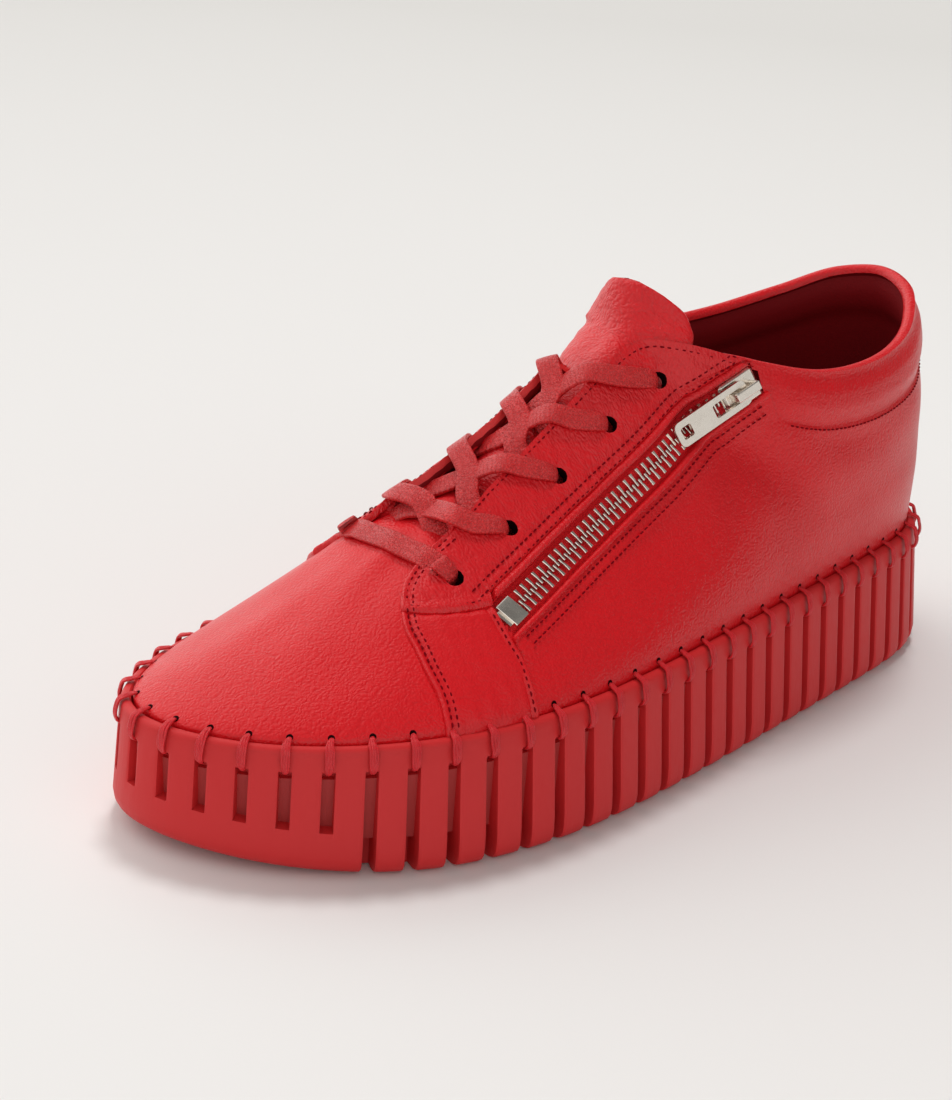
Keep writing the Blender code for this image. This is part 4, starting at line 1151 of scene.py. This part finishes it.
# Sections of the leather beside the slit: from the middle, height.
FACING = {
    -1: ((4.3, -2.4), (4.3, 0.1), (4.4, 0.7), (4.7, 1.15), (5.1, 1.3), (5.5, 1.2), (5.85, 0.8), (6.15, 0.42),
         (6.5, 0.38), (7.2, 0.48), (8.2, 0.48), (9.0, 0.36), (9.8, 0.34), (10.6, 0.30), (11.6, 0.14),
         (12.8, 0.05), (14.0, -0.03)),
    1: ((4.3, -2.4), (4.3, 0.6), (4.4, 1.2), (4.7, 1.6), (5.1, 1.75), (5.5, 1.65), (5.9, 1.3), (6.2, 0.95),
        (6.4, 0.4), (6.5, -0.2)),
}


FACING_STEPS = 130


def zip_facing(side_of_zip, look, foot):
    """The leather folded under along one side of the slit. It starts under the side strip."""
    rows, count = FACING[side_of_zip], FACING_STEPS
    lines = []
    for distance in np.linspace(foot, ZIP_LENGTH + 0.6, count):
        point, _, across, _ = zip_frame(distance)
        lines.append([point + across * side_of_zip * w for w, _ in rows])
    share = np.repeat(np.linspace(0, 1, count), len(rows))
    places = place_on_skin(np.array(lines).reshape(-1, 3), (0.28 + share * 0.42, 0.53 + share * 0.42))
    places[:, 1] = np.minimum(places[:, 1], NEAR_TOP)
    heights = np.tile([h for _, h in rows], count) + soft_folds(1, places[:, 0], places[:, 1])
    rear = np.interp(places[:, 1], *np.array(STRIP_REAR[1])[:, ::-1].T)
    heights = np.where(places[:, 0] < rear + 0.001, -0.5, heights)
    heights += 1.5 * collar_pad(places[:, 0], places[:, 1]) * (side_of_zip < 0)
    points, _ = skin(1, places, heights)
    name = "zip_facing_upper" if side_of_zip > 0 else "zip_facing_lower"
    make_sheet(name, points, sheet_faces(count, len(rows)), [look], "leather")


CLOTH_HALF = 7.0
CLOTH_FOOT = -3.5
CLOTH_DOWN = 1.25  # how far it lies under the teeth's middle


def zip_cloth():
    """Woven tape with a corded edge under the teeth."""
    half_at = np.array([0.15, 1.0, 2.7, 3.2, 3.7, 4.2, 5.2, CLOTH_HALF])
    across_at = np.concatenate([-half_at[::-1], half_at])
    raised = 0.6 * np.exp(-((np.abs(across_at) - 3.1) / 0.45) ** 2) - 0.25 * (np.abs(across_at) < 0.5)
    rows, uv = [], []
    for distance in np.linspace(CLOTH_FOOT, ZIP_LENGTH - 0.5, ZIP_STEPS):
        point, _, across, normal = zip_frame(distance)
        reach = CLOTH_HALF - 2.8 * ease(distance, ZIP_LENGTH - 12, ZIP_LENGTH - 4)
        rows.append([point + across * min(w, reach) + normal * (h - CLOTH_DOWN)
                     for w, h in zip(across_at, raised)])
        uv.append([(w / CLOTH_HALF, distance / CLOTH_HALF) for w in across_at])
    make_sheet("zip_cloth", rows, sheet_faces(len(rows), len(across_at)), [LIFTED_TAPE], "tape", ["zip_tape"],
               uv, crease=60.0)


# Sections of a tooth: across, half along, low, high.
TOOTH = ((-0.72, 0.20, -0.75, 0.06), (-0.55, 0.30, -0.95, 0.26), (0.15, 0.34, -1.0, 0.32),
         (0.50, 0.26, -1.0, 0.26), (0.85, 0.28, -1.0, 0.34), (1.15, 0.33, -1.15, 0.44),
         (2.1, 0.38, -1.2, 0.46), (2.95, 0.45, -1.2, 0.44), (3.10, 0.42, -1.1, 0.30))
TOOTH_BEVEL = 0.14
TAB_PRESS = 0.5  # how far the tab's free end presses the teeth down
PRESS_FROM, PRESS_TO = (67, 71), (77, 81)  # distances from the zip's foot


def end_caps(rings, corners, caps):
    """Closed faces of a stack of rings, with flat caps at both ends."""
    last = (rings - 1) * corners
    return np.vstack([sheet_faces(rings, corners, True), caps, [[last + v for v in cap] for cap in caps]])


def zip_teeth():
    """Two rows of metal teeth, one between the other's."""
    first = STOP_LENGTH + GAP
    count = int((ZIP_LENGTH - SLIDER_FOOT + 2.0 - first) / (TOOTH_PITCH / 2))
    work = Work()
    for tooth in range(count):
        distance = first + (tooth + 0.5) * TOOTH_PITCH / 2
        point, way, across, normal = zip_frame(distance)
        sign = 1 if tooth % 2 else -1
        point = point - normal * TAB_PRESS * (ease(distance, *PRESS_FROM) - ease(distance, *PRESS_TO))
        rings = []
        for w, half, low, high in TOOTH:
            shoulder = high - TOOTH_BEVEL
            corners = ((-half, low), (half, low), (half, shoulder), (half - TOOTH_BEVEL, high),
                       (TOOTH_BEVEL - half, high), (-half, shoulder))
            rings.append([point + across * sign * w + way * a + normal * h for a, h in corners])
        work.add(rings, end_caps(len(TOOTH), 6, [(0, 1, 2, 3), (0, 3, 4, 5)]))
    work.make("zip_teeth", [NICKEL], "metal", ["zip_chain"], crease=25.0)


def clip_block(work, distance, length, width, low, high, bevel):
    """A folded metal clip across the chain."""
    point, way, across, normal = zip_frame(distance)
    rings = []
    for share, inset in ((-1, 0.5), (-1, 0.12), (-0.93, 0.0), (0.93, 0.0), (1, 0.12), (1, 0.5)):
        along = share * length / 2
        half, top = width / 2 - inset * bevel * 2, high - inset * bevel * 2
        corners = ((-half, low), (half, low), (half, top - bevel), (half - bevel * 0.3, top - bevel * 0.3),
                   (half - bevel, top), (bevel - half, top), (bevel * 0.3 - half, top - bevel * 0.3),
                   (-half, top - bevel))
        rings.append([point + way * along + across * a + normal * h for a, h in corners])
    work.add(rings, end_caps(len(rings), 8, [(0, 1, 2, 3), (0, 3, 4, 7), (4, 5, 6, 7)]))


def zip_foot():
    """The clip at the chain's foot and a narrow one below it."""
    work = Work()
    clip_block(work, STOP_LENGTH / 2 - 0.2, STOP_LENGTH, STOP_WIDTH - 0.3, -1.6, 0.45, 0.42)
    clip_block(work, -0.7, 1.2, 4.6, -1.7, -0.1, 0.3)
    work.make("zip_foot", [NICKEL], "metal", ["zip_stop"], crease=30.0)


# ---------------------------------------------------------------- tongue
# The flanks' spread: y of the middle, how much wider inside and outside, lift, lift of the inner flank.
FLANK_REACH = ((-8.0, 0.0, 0.0, 0.0, 0.0), (-3.0, 1.0, 0.0, 1.2, 1.0), (0.0, 3.0, 0.5, 3.3, 3.4),
               (3.0, 2.6, 1.2, 3.8, 5.0), (5.0, 2.6, 2.0, 3.6, 5.0), (7.0, 2.4, 2.6, 2.6, 3.2),
               (9.0, 3.4, 3.0, 1.3, 1.2), (11.2, -0.2, 1.8, 0.3, 0.0), (12.9, -2.6, 0.8, 0.0, 0.0),
               (14.0, -1.5, 0.4, 0.0, 0.0))
TONGUE_LINES, TONGUE_COLUMNS, RIDGE = 130, 61, 30  # RIDGE is the middle column
TONGUE_ROUND = 1.6  # its edges are rounded over this width


def tongue_sheet():
    """The tongue's face, with its loose flanks spread wider where it leaves the laces."""
    across, along = np.linspace(-1, 1, TONGUE_COLUMNS), np.linspace(0, 1, TONGUE_LINES)
    grid = np.array([tongue_surface(a, across) for a in along])
    inner, outer, lift, flank = smooth_rows(FLANK_REACH, grid[:, RIDGE, 1]).T
    to_inside, to_outside = ease(-across, 0.15, 1.0)[None], ease(across, 0.25, 1.0)[None]
    grid[..., 0] += outer[:, None] * to_outside - inner[:, None] * to_inside
    grid[..., 2] += lift[:, None] * (1 - 0.6 * to_outside) + flank[:, None] * to_inside
    lengthwise = unit(np.gradient(grid[:, RIDGE], axis=0))[:, None]
    normal = unit(np.cross(np.gradient(grid, axis=1), lengthwise))
    return grid, normal, across, along


def soft_tongue():
    """The padded tongue with rounded edges, lined underneath."""
    grid, normal, across, along = tongue_sheet()
    width = np.array([np.linalg.norm(np.diff(row, axis=0), axis=1).sum() for row in grid])
    to_side = (1 - np.abs(across))[None] * width[:, None] / 2
    ridge = along_length(grid[:, RIDGE])
    to_top = (ridge[-1] - ridge)[:, None]
    far = np.minimum(np.minimum(to_side, to_top), TONGUE_ROUND) / TONGUE_ROUND
    round_off = 1.5 * (1 - np.sqrt(1 - (1 - far) ** 2))
    wave = 0.35 * np.sin(grid[..., 1] * 0.32 + grid[..., 0] * 0.18) + leather_crumple(grid) * 0.12
    top = grid + normal * (wave - round_off)[..., None]
    under = grid - normal * (TONGUE_THICK - round_off)[..., None]
    work = Work()
    rows, columns = len(along), len(across)
    work.add(top, sheet_faces(rows, columns))
    work.add(under, sheet_faces(rows, columns)[:, ::-1], look=1)
    for first, second in ((top[:, 0], under[:, 0]), (under[:, -1], top[:, -1]), (under[-1], top[-1])):
        work.add(np.vstack([first, second]), sheet_faces(2, len(first))[:, ::-1])
    work.make("soft_tongue", [TUMBLED, SHADED_LINING], "leather", ["tongue"], crease=70.0)


APRON_HEAD = -40.0  # where the soft leather in front of the throat runs out on the tongue


def apron_points(across, share):
    """The soft leather from the vamp, under the front lace, to the tongue. share runs 0 to 1."""
    side = 1 if across >= 0 else -1
    at = abs(across) * BAR[-1][0]
    up = float(np.interp(at, *np.array(BAR).T))
    foot, before = (v[0] for v in (upper_surface(side, at, up), upper_surface(side, at, up - 0.03)))
    walked = along_length(TONGUE_ROWS[:, :2])
    along = np.interp(APRON_HEAD, TONGUE_ROWS[:, 0], walked) / walked[-1]
    head = tongue_surface(along, across * 0.97)[0]
    after = tongue_surface(along + 0.02, across * 0.97)[0]
    reach = np.linalg.norm(head - foot)
    start, end = unit(foot - before) * reach * 0.9, unit(after - head) * reach * 0.8
    t = np.asarray(share, float)[:, None]
    return ((2 * t**3 - 3 * t**2 + 1) * foot + (t**3 - 2 * t**2 + t) * start
            + (3 * t**2 - 2 * t**3) * head + (t**3 - t**2) * end)


def throat_floor(y):
    """Height of the soft leather along the middle of the throat."""
    curve = apron_points(0.0, np.linspace(0, 1, 40))
    return float(np.interp(y, curve[:, 1], curve[:, 2])) if y < APRON_HEAD else tongue_height(y)


APRON_LINES = 60


def apron():
    """The soft leather in front of the throat."""
    share = np.linspace(0, 1, APRON_LINES)
    columns = [apron_points(a, share) for a in np.linspace(-1, 1, TONGUE_COLUMNS)]
    grid = np.stack(columns, axis=1)
    normal = unit(np.cross(np.gradient(grid, axis=1), np.gradient(grid, axis=0)))
    normal *= np.sign(normal[..., 2:])
    lift = 0.25 - 0.9 * (1 - ease(share, 0.0, 0.04)) - 1.4 * ease(share, 0.93, 1.0)
    wave = 0.2 * np.sin(grid[..., 0] * 0.5 + grid[..., 1] * 0.3)
    make_sheet("tongue_apron", grid + normal * (lift[:, None] + wave)[..., None],
               sheet_faces(APRON_LINES, TONGUE_COLUMNS)[:, ::-1], [VAMP], "leather")


# ---------------------------------------------------------------- laces
THROAT_UP = np.array([0.0, -0.54, 0.84])
LACE_SECTION = ((-1.0, 0.0), (-0.99, 0.22), (-0.955, 0.34), (-0.88, 0.40), (-0.45, 0.43), (0.0, 0.44),
                (0.45, 0.43), (0.88, 0.40), (0.955, 0.34), (0.99, 0.22), (1.0, 0.0), (0.99, -0.22),
                (0.955, -0.34), (0.88, -0.40), (0.0, -0.43), (-0.88, -0.40), (-0.955, -0.34), (-0.99, -0.22))


def lace_ribbon(work, stations):
    """A flat lace through its stations: place, facing, half width and how far its edges curl down."""
    path, ups, halves, curls = (np.array(part, float) for part in zip(*stations))
    walked = along_length(path)
    count = max(int(walked[-1] / 0.6), 12)
    table = np.column_stack([walked, path, ups, halves, curls])
    rows = smooth_rows(table, np.linspace(0, walked[-1], count), odd=(0, 1, 2))
    centre, up, half, curl = rows[:, :3], rows[:, 3:6], rows[:, 6], rows[:, 7]
    across, up = path_frame(centre, up)
    length = along_length(centre)
    rings, uv = [], []
    for a, h in LACE_SECTION:
        rings.append(centre + across * (half * a)[:, None] + up * (h * LACE_THICK - curl * a * a)[:, None])
        uv.append(np.column_stack([np.full(count, a / 2 + 0.5), length / LACE_WIDTH]))
    work.add(np.stack(rings, 1), sheet_faces(count, len(LACE_SECTION), True), np.stack(uv, 1))


def into_hole(side, row, from_point, clear):
    """The last stations of a run: over the stay, then down through its hole."""
    hole, normal = eyelet(side, row)
    inward = unit(from_point - hole - normal * ((from_point - hole) @ normal))
    return [
        (hole + inward * 5.2 + normal * (STAY_THICK + 0.75 + clear), normal, 2.6, 0.1),
        (hole + inward * 2.6 + normal * (STAY_THICK + 0.75 + clear * 0.5), normal, 2.3, 0.2),
        (hole + inward * 0.9 + normal * (STAY_THICK - 0.1), unit(normal - inward * 0.9), 1.95, 0.3),
        (hole + inward * 0.5 - normal * 2.6, unit(normal * 0.2 - inward), 1.8, 0.3),
    ]


def lace_front():
    """The run over the vamp at the front of the throat."""
    for side in (1, -1):
        spots, normals = upper_frame(side, *np.array(BAR).T)
        over_stay = np.array([0.0, 0.0, 0.25, 0.7])
        spots = spots + normals * (0.85 + over_stay)[:, None]
        half = [(spot, normal, 2.85, 0.1) for spot, normal in zip(spots, normals)]
        half += into_hole(side, 0, spots[-1], 0.0)
        stations = half[::-1] if side > 0 else stations + half[1:]
    return stations


def lace_run(side, row, lift):
    """From under one side's edge at an eyelet row, over the other side to its next eyelet."""
    near, over = (upper_surface(s, at, 1.0)[0] for s, at in ((side, RUN_FROM[row]), (-side, RUN_OVER[row])))
    y = near[1] + RUN_AHEAD
    start = np.array([near[0] - side * RUN_INSIDE, y, throat_floor(y) + RUN_OFF_TONGUE])
    y_cross = start[1] + (over[1] - start[1]) * CROSS_SHARE
    above_edges = (near[2] + over[2]) / 2 + CROSS_OFF_EDGES
    z_cross = max(throat_floor(y_cross) + CROSS_OFF_TONGUE, above_edges) + lift
    middle = np.array([middle_x(y_cross)[0], y_cross, z_cross])
    under = near + np.array([side * 2.0, 0.8, -4.1])
    clear = TOP_CLEAR * 0.5 if row + 2 == len(EYELETS) else 0.0
    place = np.array([RUN_OVER[row], 1.0]) * 0.6 + np.array(EYELETS[row + 1]) * 0.4
    spot, normal = (v[0] for v in upper_frame(-side, *place))
    spot = spot + normal * (STAY_THICK + 0.9 + clear)
    over = over + THROAT_UP * (2.3 + clear)
    return [(under, THROAT_UP, 2.8, 0.0), (start, THROAT_UP, 2.9, 0.0), (middle, THROAT_UP, 2.9, 0.1),
            (over, unit(normal * 0.4 + THROAT_UP * 0.6), 2.85, 0.1), (spot, normal, 2.75, 0.1),
            *into_hole(-side, row + 1, spot, clear * 0.5)]


def laces():
    """The front run and the four crossings above it, the outer run on top."""
    work = Work()
    lace_ribbon(work, lace_front())
    work.make("lace_front", [WAXED], "lace", ["lace_bar"], crease=50.0)
    for row in range(len(EYELETS) - 1):
        work = Work()
        lace_ribbon(work, lace_run(-1, row, 0.0))
        lace_ribbon(work, lace_run(1, row, LACE_THICK))
        work.make(f"lace_crossing_{row + 1}", [WAXED], "lace", [f"lace_cross_{row + 1}"], crease=50.0)


# ---------------------------------------------------------------- sewing
STITCH_RISE = 1.25  # from the rim up to a punched hole
STITCH_HOLE = 0.80
STRAND_RADIUS = 0.36
LOOP_POINTS = 22


def sole_stitches():
    """A thick loop at each slot, from a punched hole over the rim and into the slot's top; each hole is a
    dark disc of painted shade.
    """
    work, holes = Work(), Work()
    pitch = RIM.length / SLOTS
    for k in range(SLOTS):
        arc = (FIRST_SLOT + k * pitch) % RIM.length
        rim_point, outward = (v[0] for v in RIM.at(arc))
        side = 1 if arc <= RIM.heel else -1
        at = arc / RIM.heel if side > 0 else (RIM.length - arc) / (RIM.length - RIM.heel)
        track, normals = upper_frame(side, np.full(120, at), np.linspace(0, 0.5, 120))
        spot = int(np.searchsorted(along_length(track), STITCH_RISE))
        hole, normal = track[spot], normals[spot]
        outward = np.append(outward, 0.0)
        rim = float(rim_height(rim_point[1]))
        edge = np.array([*rim_point, rim])
        lean = float(wall_lean(rim_point[1]))
        over_rim = ((-1.5, 0.75), (-0.1, 0.15), (0.55, -1.5), (0.6 + 3.2 * lean, -3.6),
                    (5.2 * lean - 0.1, 0.2 - SLOT_TOP), (-1.3, -SLOT_TOP - 0.7))
        path = smooth_line([hole - normal * 1.4, hole + normal * 0.35 - UP * 0.35,
                            *(edge + outward * out + UP * rise for out, rise in over_rim)], LOOP_POINTS)
        along = np.cross(UP, outward)
        share = np.linspace(0, 1, LOOP_POINTS)
        swell = np.sin(np.pi * np.clip(share * 1.1 - 0.08, 0, 1)) ** 0.8
        lift = np.cross(along, unit(np.gradient(path, axis=0)))
        lean_over = 0.25 * math.sin(k * 2.4)
        for strand in (-1.5, -0.5, 0.5, 1.5):
            wander = 0.08 * np.sin(share * 11 + k + strand * 2)
            slide = strand * 0.50 * swell + lean_over * (share - 0.5) + wander
            bow = 0.2 * (abs(strand) < 1) * swell
            tube(work, path + along * slide[:, None] - lift * bow[:, None], STRAND_RADIUS, along)
        disc(holes, hole + normal * 0.05, normal)
    work.make("sole_stitches", [THREAD], "lace", crease=60.0)
    holes.make("sole_stitch_hole_shades", [HOLE_SHADE], "leather")


def disc(work, centre, normal):
    """A dark disc over a punched hole, painting the shade inside it."""
    across = unit(np.cross(normal, UP))
    other = np.cross(normal, across)
    angle = np.linspace(0, 2 * math.pi, 12, endpoint=False)[:, None]
    rings = [centre + (across * np.cos(angle) + other * np.sin(angle)) * radius
             for radius in (STITCH_HOLE, STITCH_HOLE * 0.6, 0.05)]
    work.add(np.vstack(rings), sheet_faces(3, 12, True))


STITCH_ARCH = np.array([-0.16, 0.06, 0.1, 0.06, -0.16])[:, None]  # height of a stitch along its length


def sew(work, line, normals, pitch=1.85, length=1.15, radius=0.21):
    """A row of short stitches along a line on the leather."""
    walked = along_length(line)
    for stitch in range(int(walked[-1] / pitch)):
        at = (stitch + 0.5) * pitch + np.linspace(-0.5, 0.5, 5) * length
        path, normal = between(at, walked, line), between(at[2], walked, normals)
        tube(work, path + normal * STITCH_ARCH, [0.11, radius, radius, radius, 0.11], normal)


def sew_beside(work, side, places, shift, height, *stitch):
    """A row of stitches beside a line on the leather, shift millimetres to its left from outside."""
    points, normals = skin(side, places, height)
    across = unit(np.cross(normals, np.gradient(points, axis=0)))
    sew(work, points + across * shift * side, normals, *stitch)


def seams():
    """Twin rows along the front edges and beside the zip, single ones elsewhere."""
    work = Work()
    for side in (1, -1):
        front = np.vstack([smooth_line(STRIP_FRONT[side])[:-1], smooth_line(STAY_FRONT[side])])
        for shift in (-1.5, -2.9):
            sew_beside(work, side, front[6:-4], shift, STRIP_THICK - 0.05)
        cross, rear = smooth_line(CROSS_SEAM[side])[4:-2], smooth_line(STRIP_REAR[side])[4:-2]
        sew_beside(work, side, cross, 1.6, STAY_THICK - 0.1, 1.6, 1.1, 0.17)
        sew_beside(work, side, rear, 1.3, STRIP_THICK - 0.1)
        head = np.column_stack([np.linspace(0.20, 0.69, 200), np.full(200, 0.975)])
        sew_beside(work, side, head, 0.0, STAY_THICK - 0.1)
        collar = np.column_stack([np.linspace(0.72, 1.0, 120), np.full(120, COLLAR_SEAM - 0.022)])
        sew_beside(work, side, collar, 0.0, 0.05)
    for shift in (1.3, 3.6):
        sew_beside(work, -1, smooth_line(INNER_FOOT)[1:], shift, STAY_THICK - 0.1)
    for offset, height in ((6.9, STAY_THICK), (9.0, STAY_THICK), (-6.9, 0.9), (-9.4, 0.95)):
        sew(work, *skin(1, zip_side_line(offset, -1.5, -2.0, 120), height - 0.05))
    work.make("sewing", [SHADED_SEWING], "lace", crease=60.0)


# ---------------------------------------------------------------- carried-over nodes
def carried_over():
    """The slider, its tab and the insole keep their solids, with softened edges and their own finish."""
    looks = (("zip_slider", NICKEL, 0.35), ("pull_tab", NICKEL, 0.3), ("insole", SOCK, 0.5))
    for name, look, width in looks:
        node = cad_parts[name]
        node.data.materials.clear()
        node.data.materials.append(look)
        soften = node.modifiers.new("soft edge", "BEVEL")
        soften.width = width * MM
        soften.segments = 3
        soften.limit_method = "ANGLE"
        soften.angle_limit = math.radians(40)
        soften.harden_normals = False


# ---------------------------------------------------------------- studio
ROOM_DIM = 0.16  # strength of the room's light all round
ROOM_BRIGHT = 1.7  # what the bright side adds
ROOM_FRONT = 1.0  # and the open front
LAMP = 1.24
BACKDROP = (0.765, 0.745, 0.715, 1)
FAR_FLOOR_SHADE = (0.690, 0.678, 0.656, 1)
BRIGHT_SIDE = (-0.88, -0.10, 0.46)
OPEN_FRONT = (0.78, -0.61, 0.12)
FLOOR_HALF = 8.0  # metres
STATION = (330.64, -401.78, 235.20)  # where the camera stands, mm
CAMERA_TURN = 42.56  # degrees from +Y towards -X
CAMERA_DOWN = 20.39
CAMERA_ROLL = 4.30
SENSOR = 36.0
LENS = 2150.0 / 952.0 * SENSOR


def look_from_station():
    """The camera at its station."""
    turn, down, roll = (math.radians(v) for v in (CAMERA_TURN, CAMERA_DOWN, CAMERA_ROLL))
    ahead = np.array([-math.sin(turn) * math.cos(down), math.cos(turn) * math.cos(down), -math.sin(down)])
    right = np.array([math.cos(turn), math.sin(turn), 0.0])
    over = np.cross(right, ahead)
    x = right * math.cos(roll) + over * math.sin(roll)
    y = over * math.cos(roll) - right * math.sin(roll)
    data = bpy.data.cameras.new("camera")
    data.sensor_fit = "HORIZONTAL"
    data.sensor_width = SENSOR
    data.lens = LENS
    data.clip_start, data.clip_end = 0.01, 20.0
    camera = bpy.data.objects.new("camera", data)
    turned = np.column_stack([x, y, -ahead])
    camera.matrix_world = Matrix([[*row, p * MM] for row, p in zip(turned, STATION)] + [[0, 0, 0, 1]])
    bpy.context.scene.collection.objects.link(camera)
    bpy.context.scene.camera = camera


def studio():
    """A pale floor with painted shade that darkens it far away, and the light."""
    mesh = bpy.data.meshes.new("floor")
    corners = [(x * FLOOR_HALF, y * FLOOR_HALF, 0) for x, y in ((-1, -1), (1, -1), (1, 1), (-1, 1))]
    mesh.from_pydata(corners, [], [(0, 1, 2, 3)])
    floor = bpy.data.objects.new("floor", mesh)

    def build(bench, place):
        drift = bench.drift(place, (0.808, 0.794, 0.780), (0.796, 0.782, 0.768), {"Per metre": 3.0})
        away = bench.vector("LENGTH", place["Object"], out="Value")
        # Painted shade: the floor's colour darkens with distance from the shoe.
        return {"Base Color": bench.blend(bench.spread(away, 0.3, 1.6), drift["Colour"], FAR_FLOOR_SHADE)}

    mesh.materials.append(finish("Studio floor", build, roughness=0.8, specular=0.1))
    bpy.context.scene.collection.objects.link(floor)
    studio_light()


def studio_light():
    """A pale room that is brighter behind and on the left, and one large soft lamp above."""
    world = bpy.data.worlds.new("studio")
    world.use_nodes = True
    bpy.context.scene.world = world
    bench = Bench(world.node_tree)
    room = world.node_tree.nodes["Background"]
    wall = bench.add("ShaderNodeBackground", {"Color": BACKDROP, "Strength": 1.0})
    way = bench.add("ShaderNodeTexCoord").outputs["Generated"]
    parts = []
    for toward, start, strength in ((BRIGHT_SIDE, 0.42, ROOM_BRIGHT), (OPEN_FRONT, 0.3, ROOM_FRONT)):
        facing = bench.vector("DOT_PRODUCT", way, toward, out="Value")
        parts.append(bench.spread(facing, start, 1.0, 0.0, strength))
    total = bench.math("ADD", bench.math("ADD", *parts), ROOM_DIM)
    room.inputs["Color"].default_value = (1.0, 0.985, 0.965, 1)
    world.node_tree.links.new(total, room.inputs["Strength"])
    seen = bench.add("ShaderNodeLightPath").outputs["Is Camera Ray"]
    mix = bench.add("ShaderNodeMixShader", {0: seen, 1: room.outputs[0], 2: wall.outputs[0]})
    world.node_tree.links.new(mix.outputs[0], world.node_tree.nodes["World Output"].inputs["Surface"])
    lamp = bpy.data.lights.new("soft lamp", "SUN")
    lamp.energy = LAMP
    lamp.angle = math.radians(13)
    made = bpy.data.objects.new("soft lamp", lamp)
    made.rotation_euler = Vector((-0.22, 0.30, 0.93)).to_track_quat("Z", "Y").to_euler()
    made.visible_glossy = False
    bpy.context.scene.collection.objects.link(made)
    bpy.context.scene.view_settings.view_transform = "Standard"
    bpy.context.scene.view_settings.look = "None"


def main():
    cup_sole()
    shell()
    for side in (1, -1):
        stay_panel(side)
        side_strip(side)
    zip_facing(1, TUMBLED, -1.5)
    zip_facing(-1, VAMP, -10.0)
    zip_cloth()
    zip_teeth()
    zip_foot()
    soft_tongue()
    apron()
    laces()
    sole_stitches()
    seams()
    carried_over()
    studio()
    look_from_station()


main()
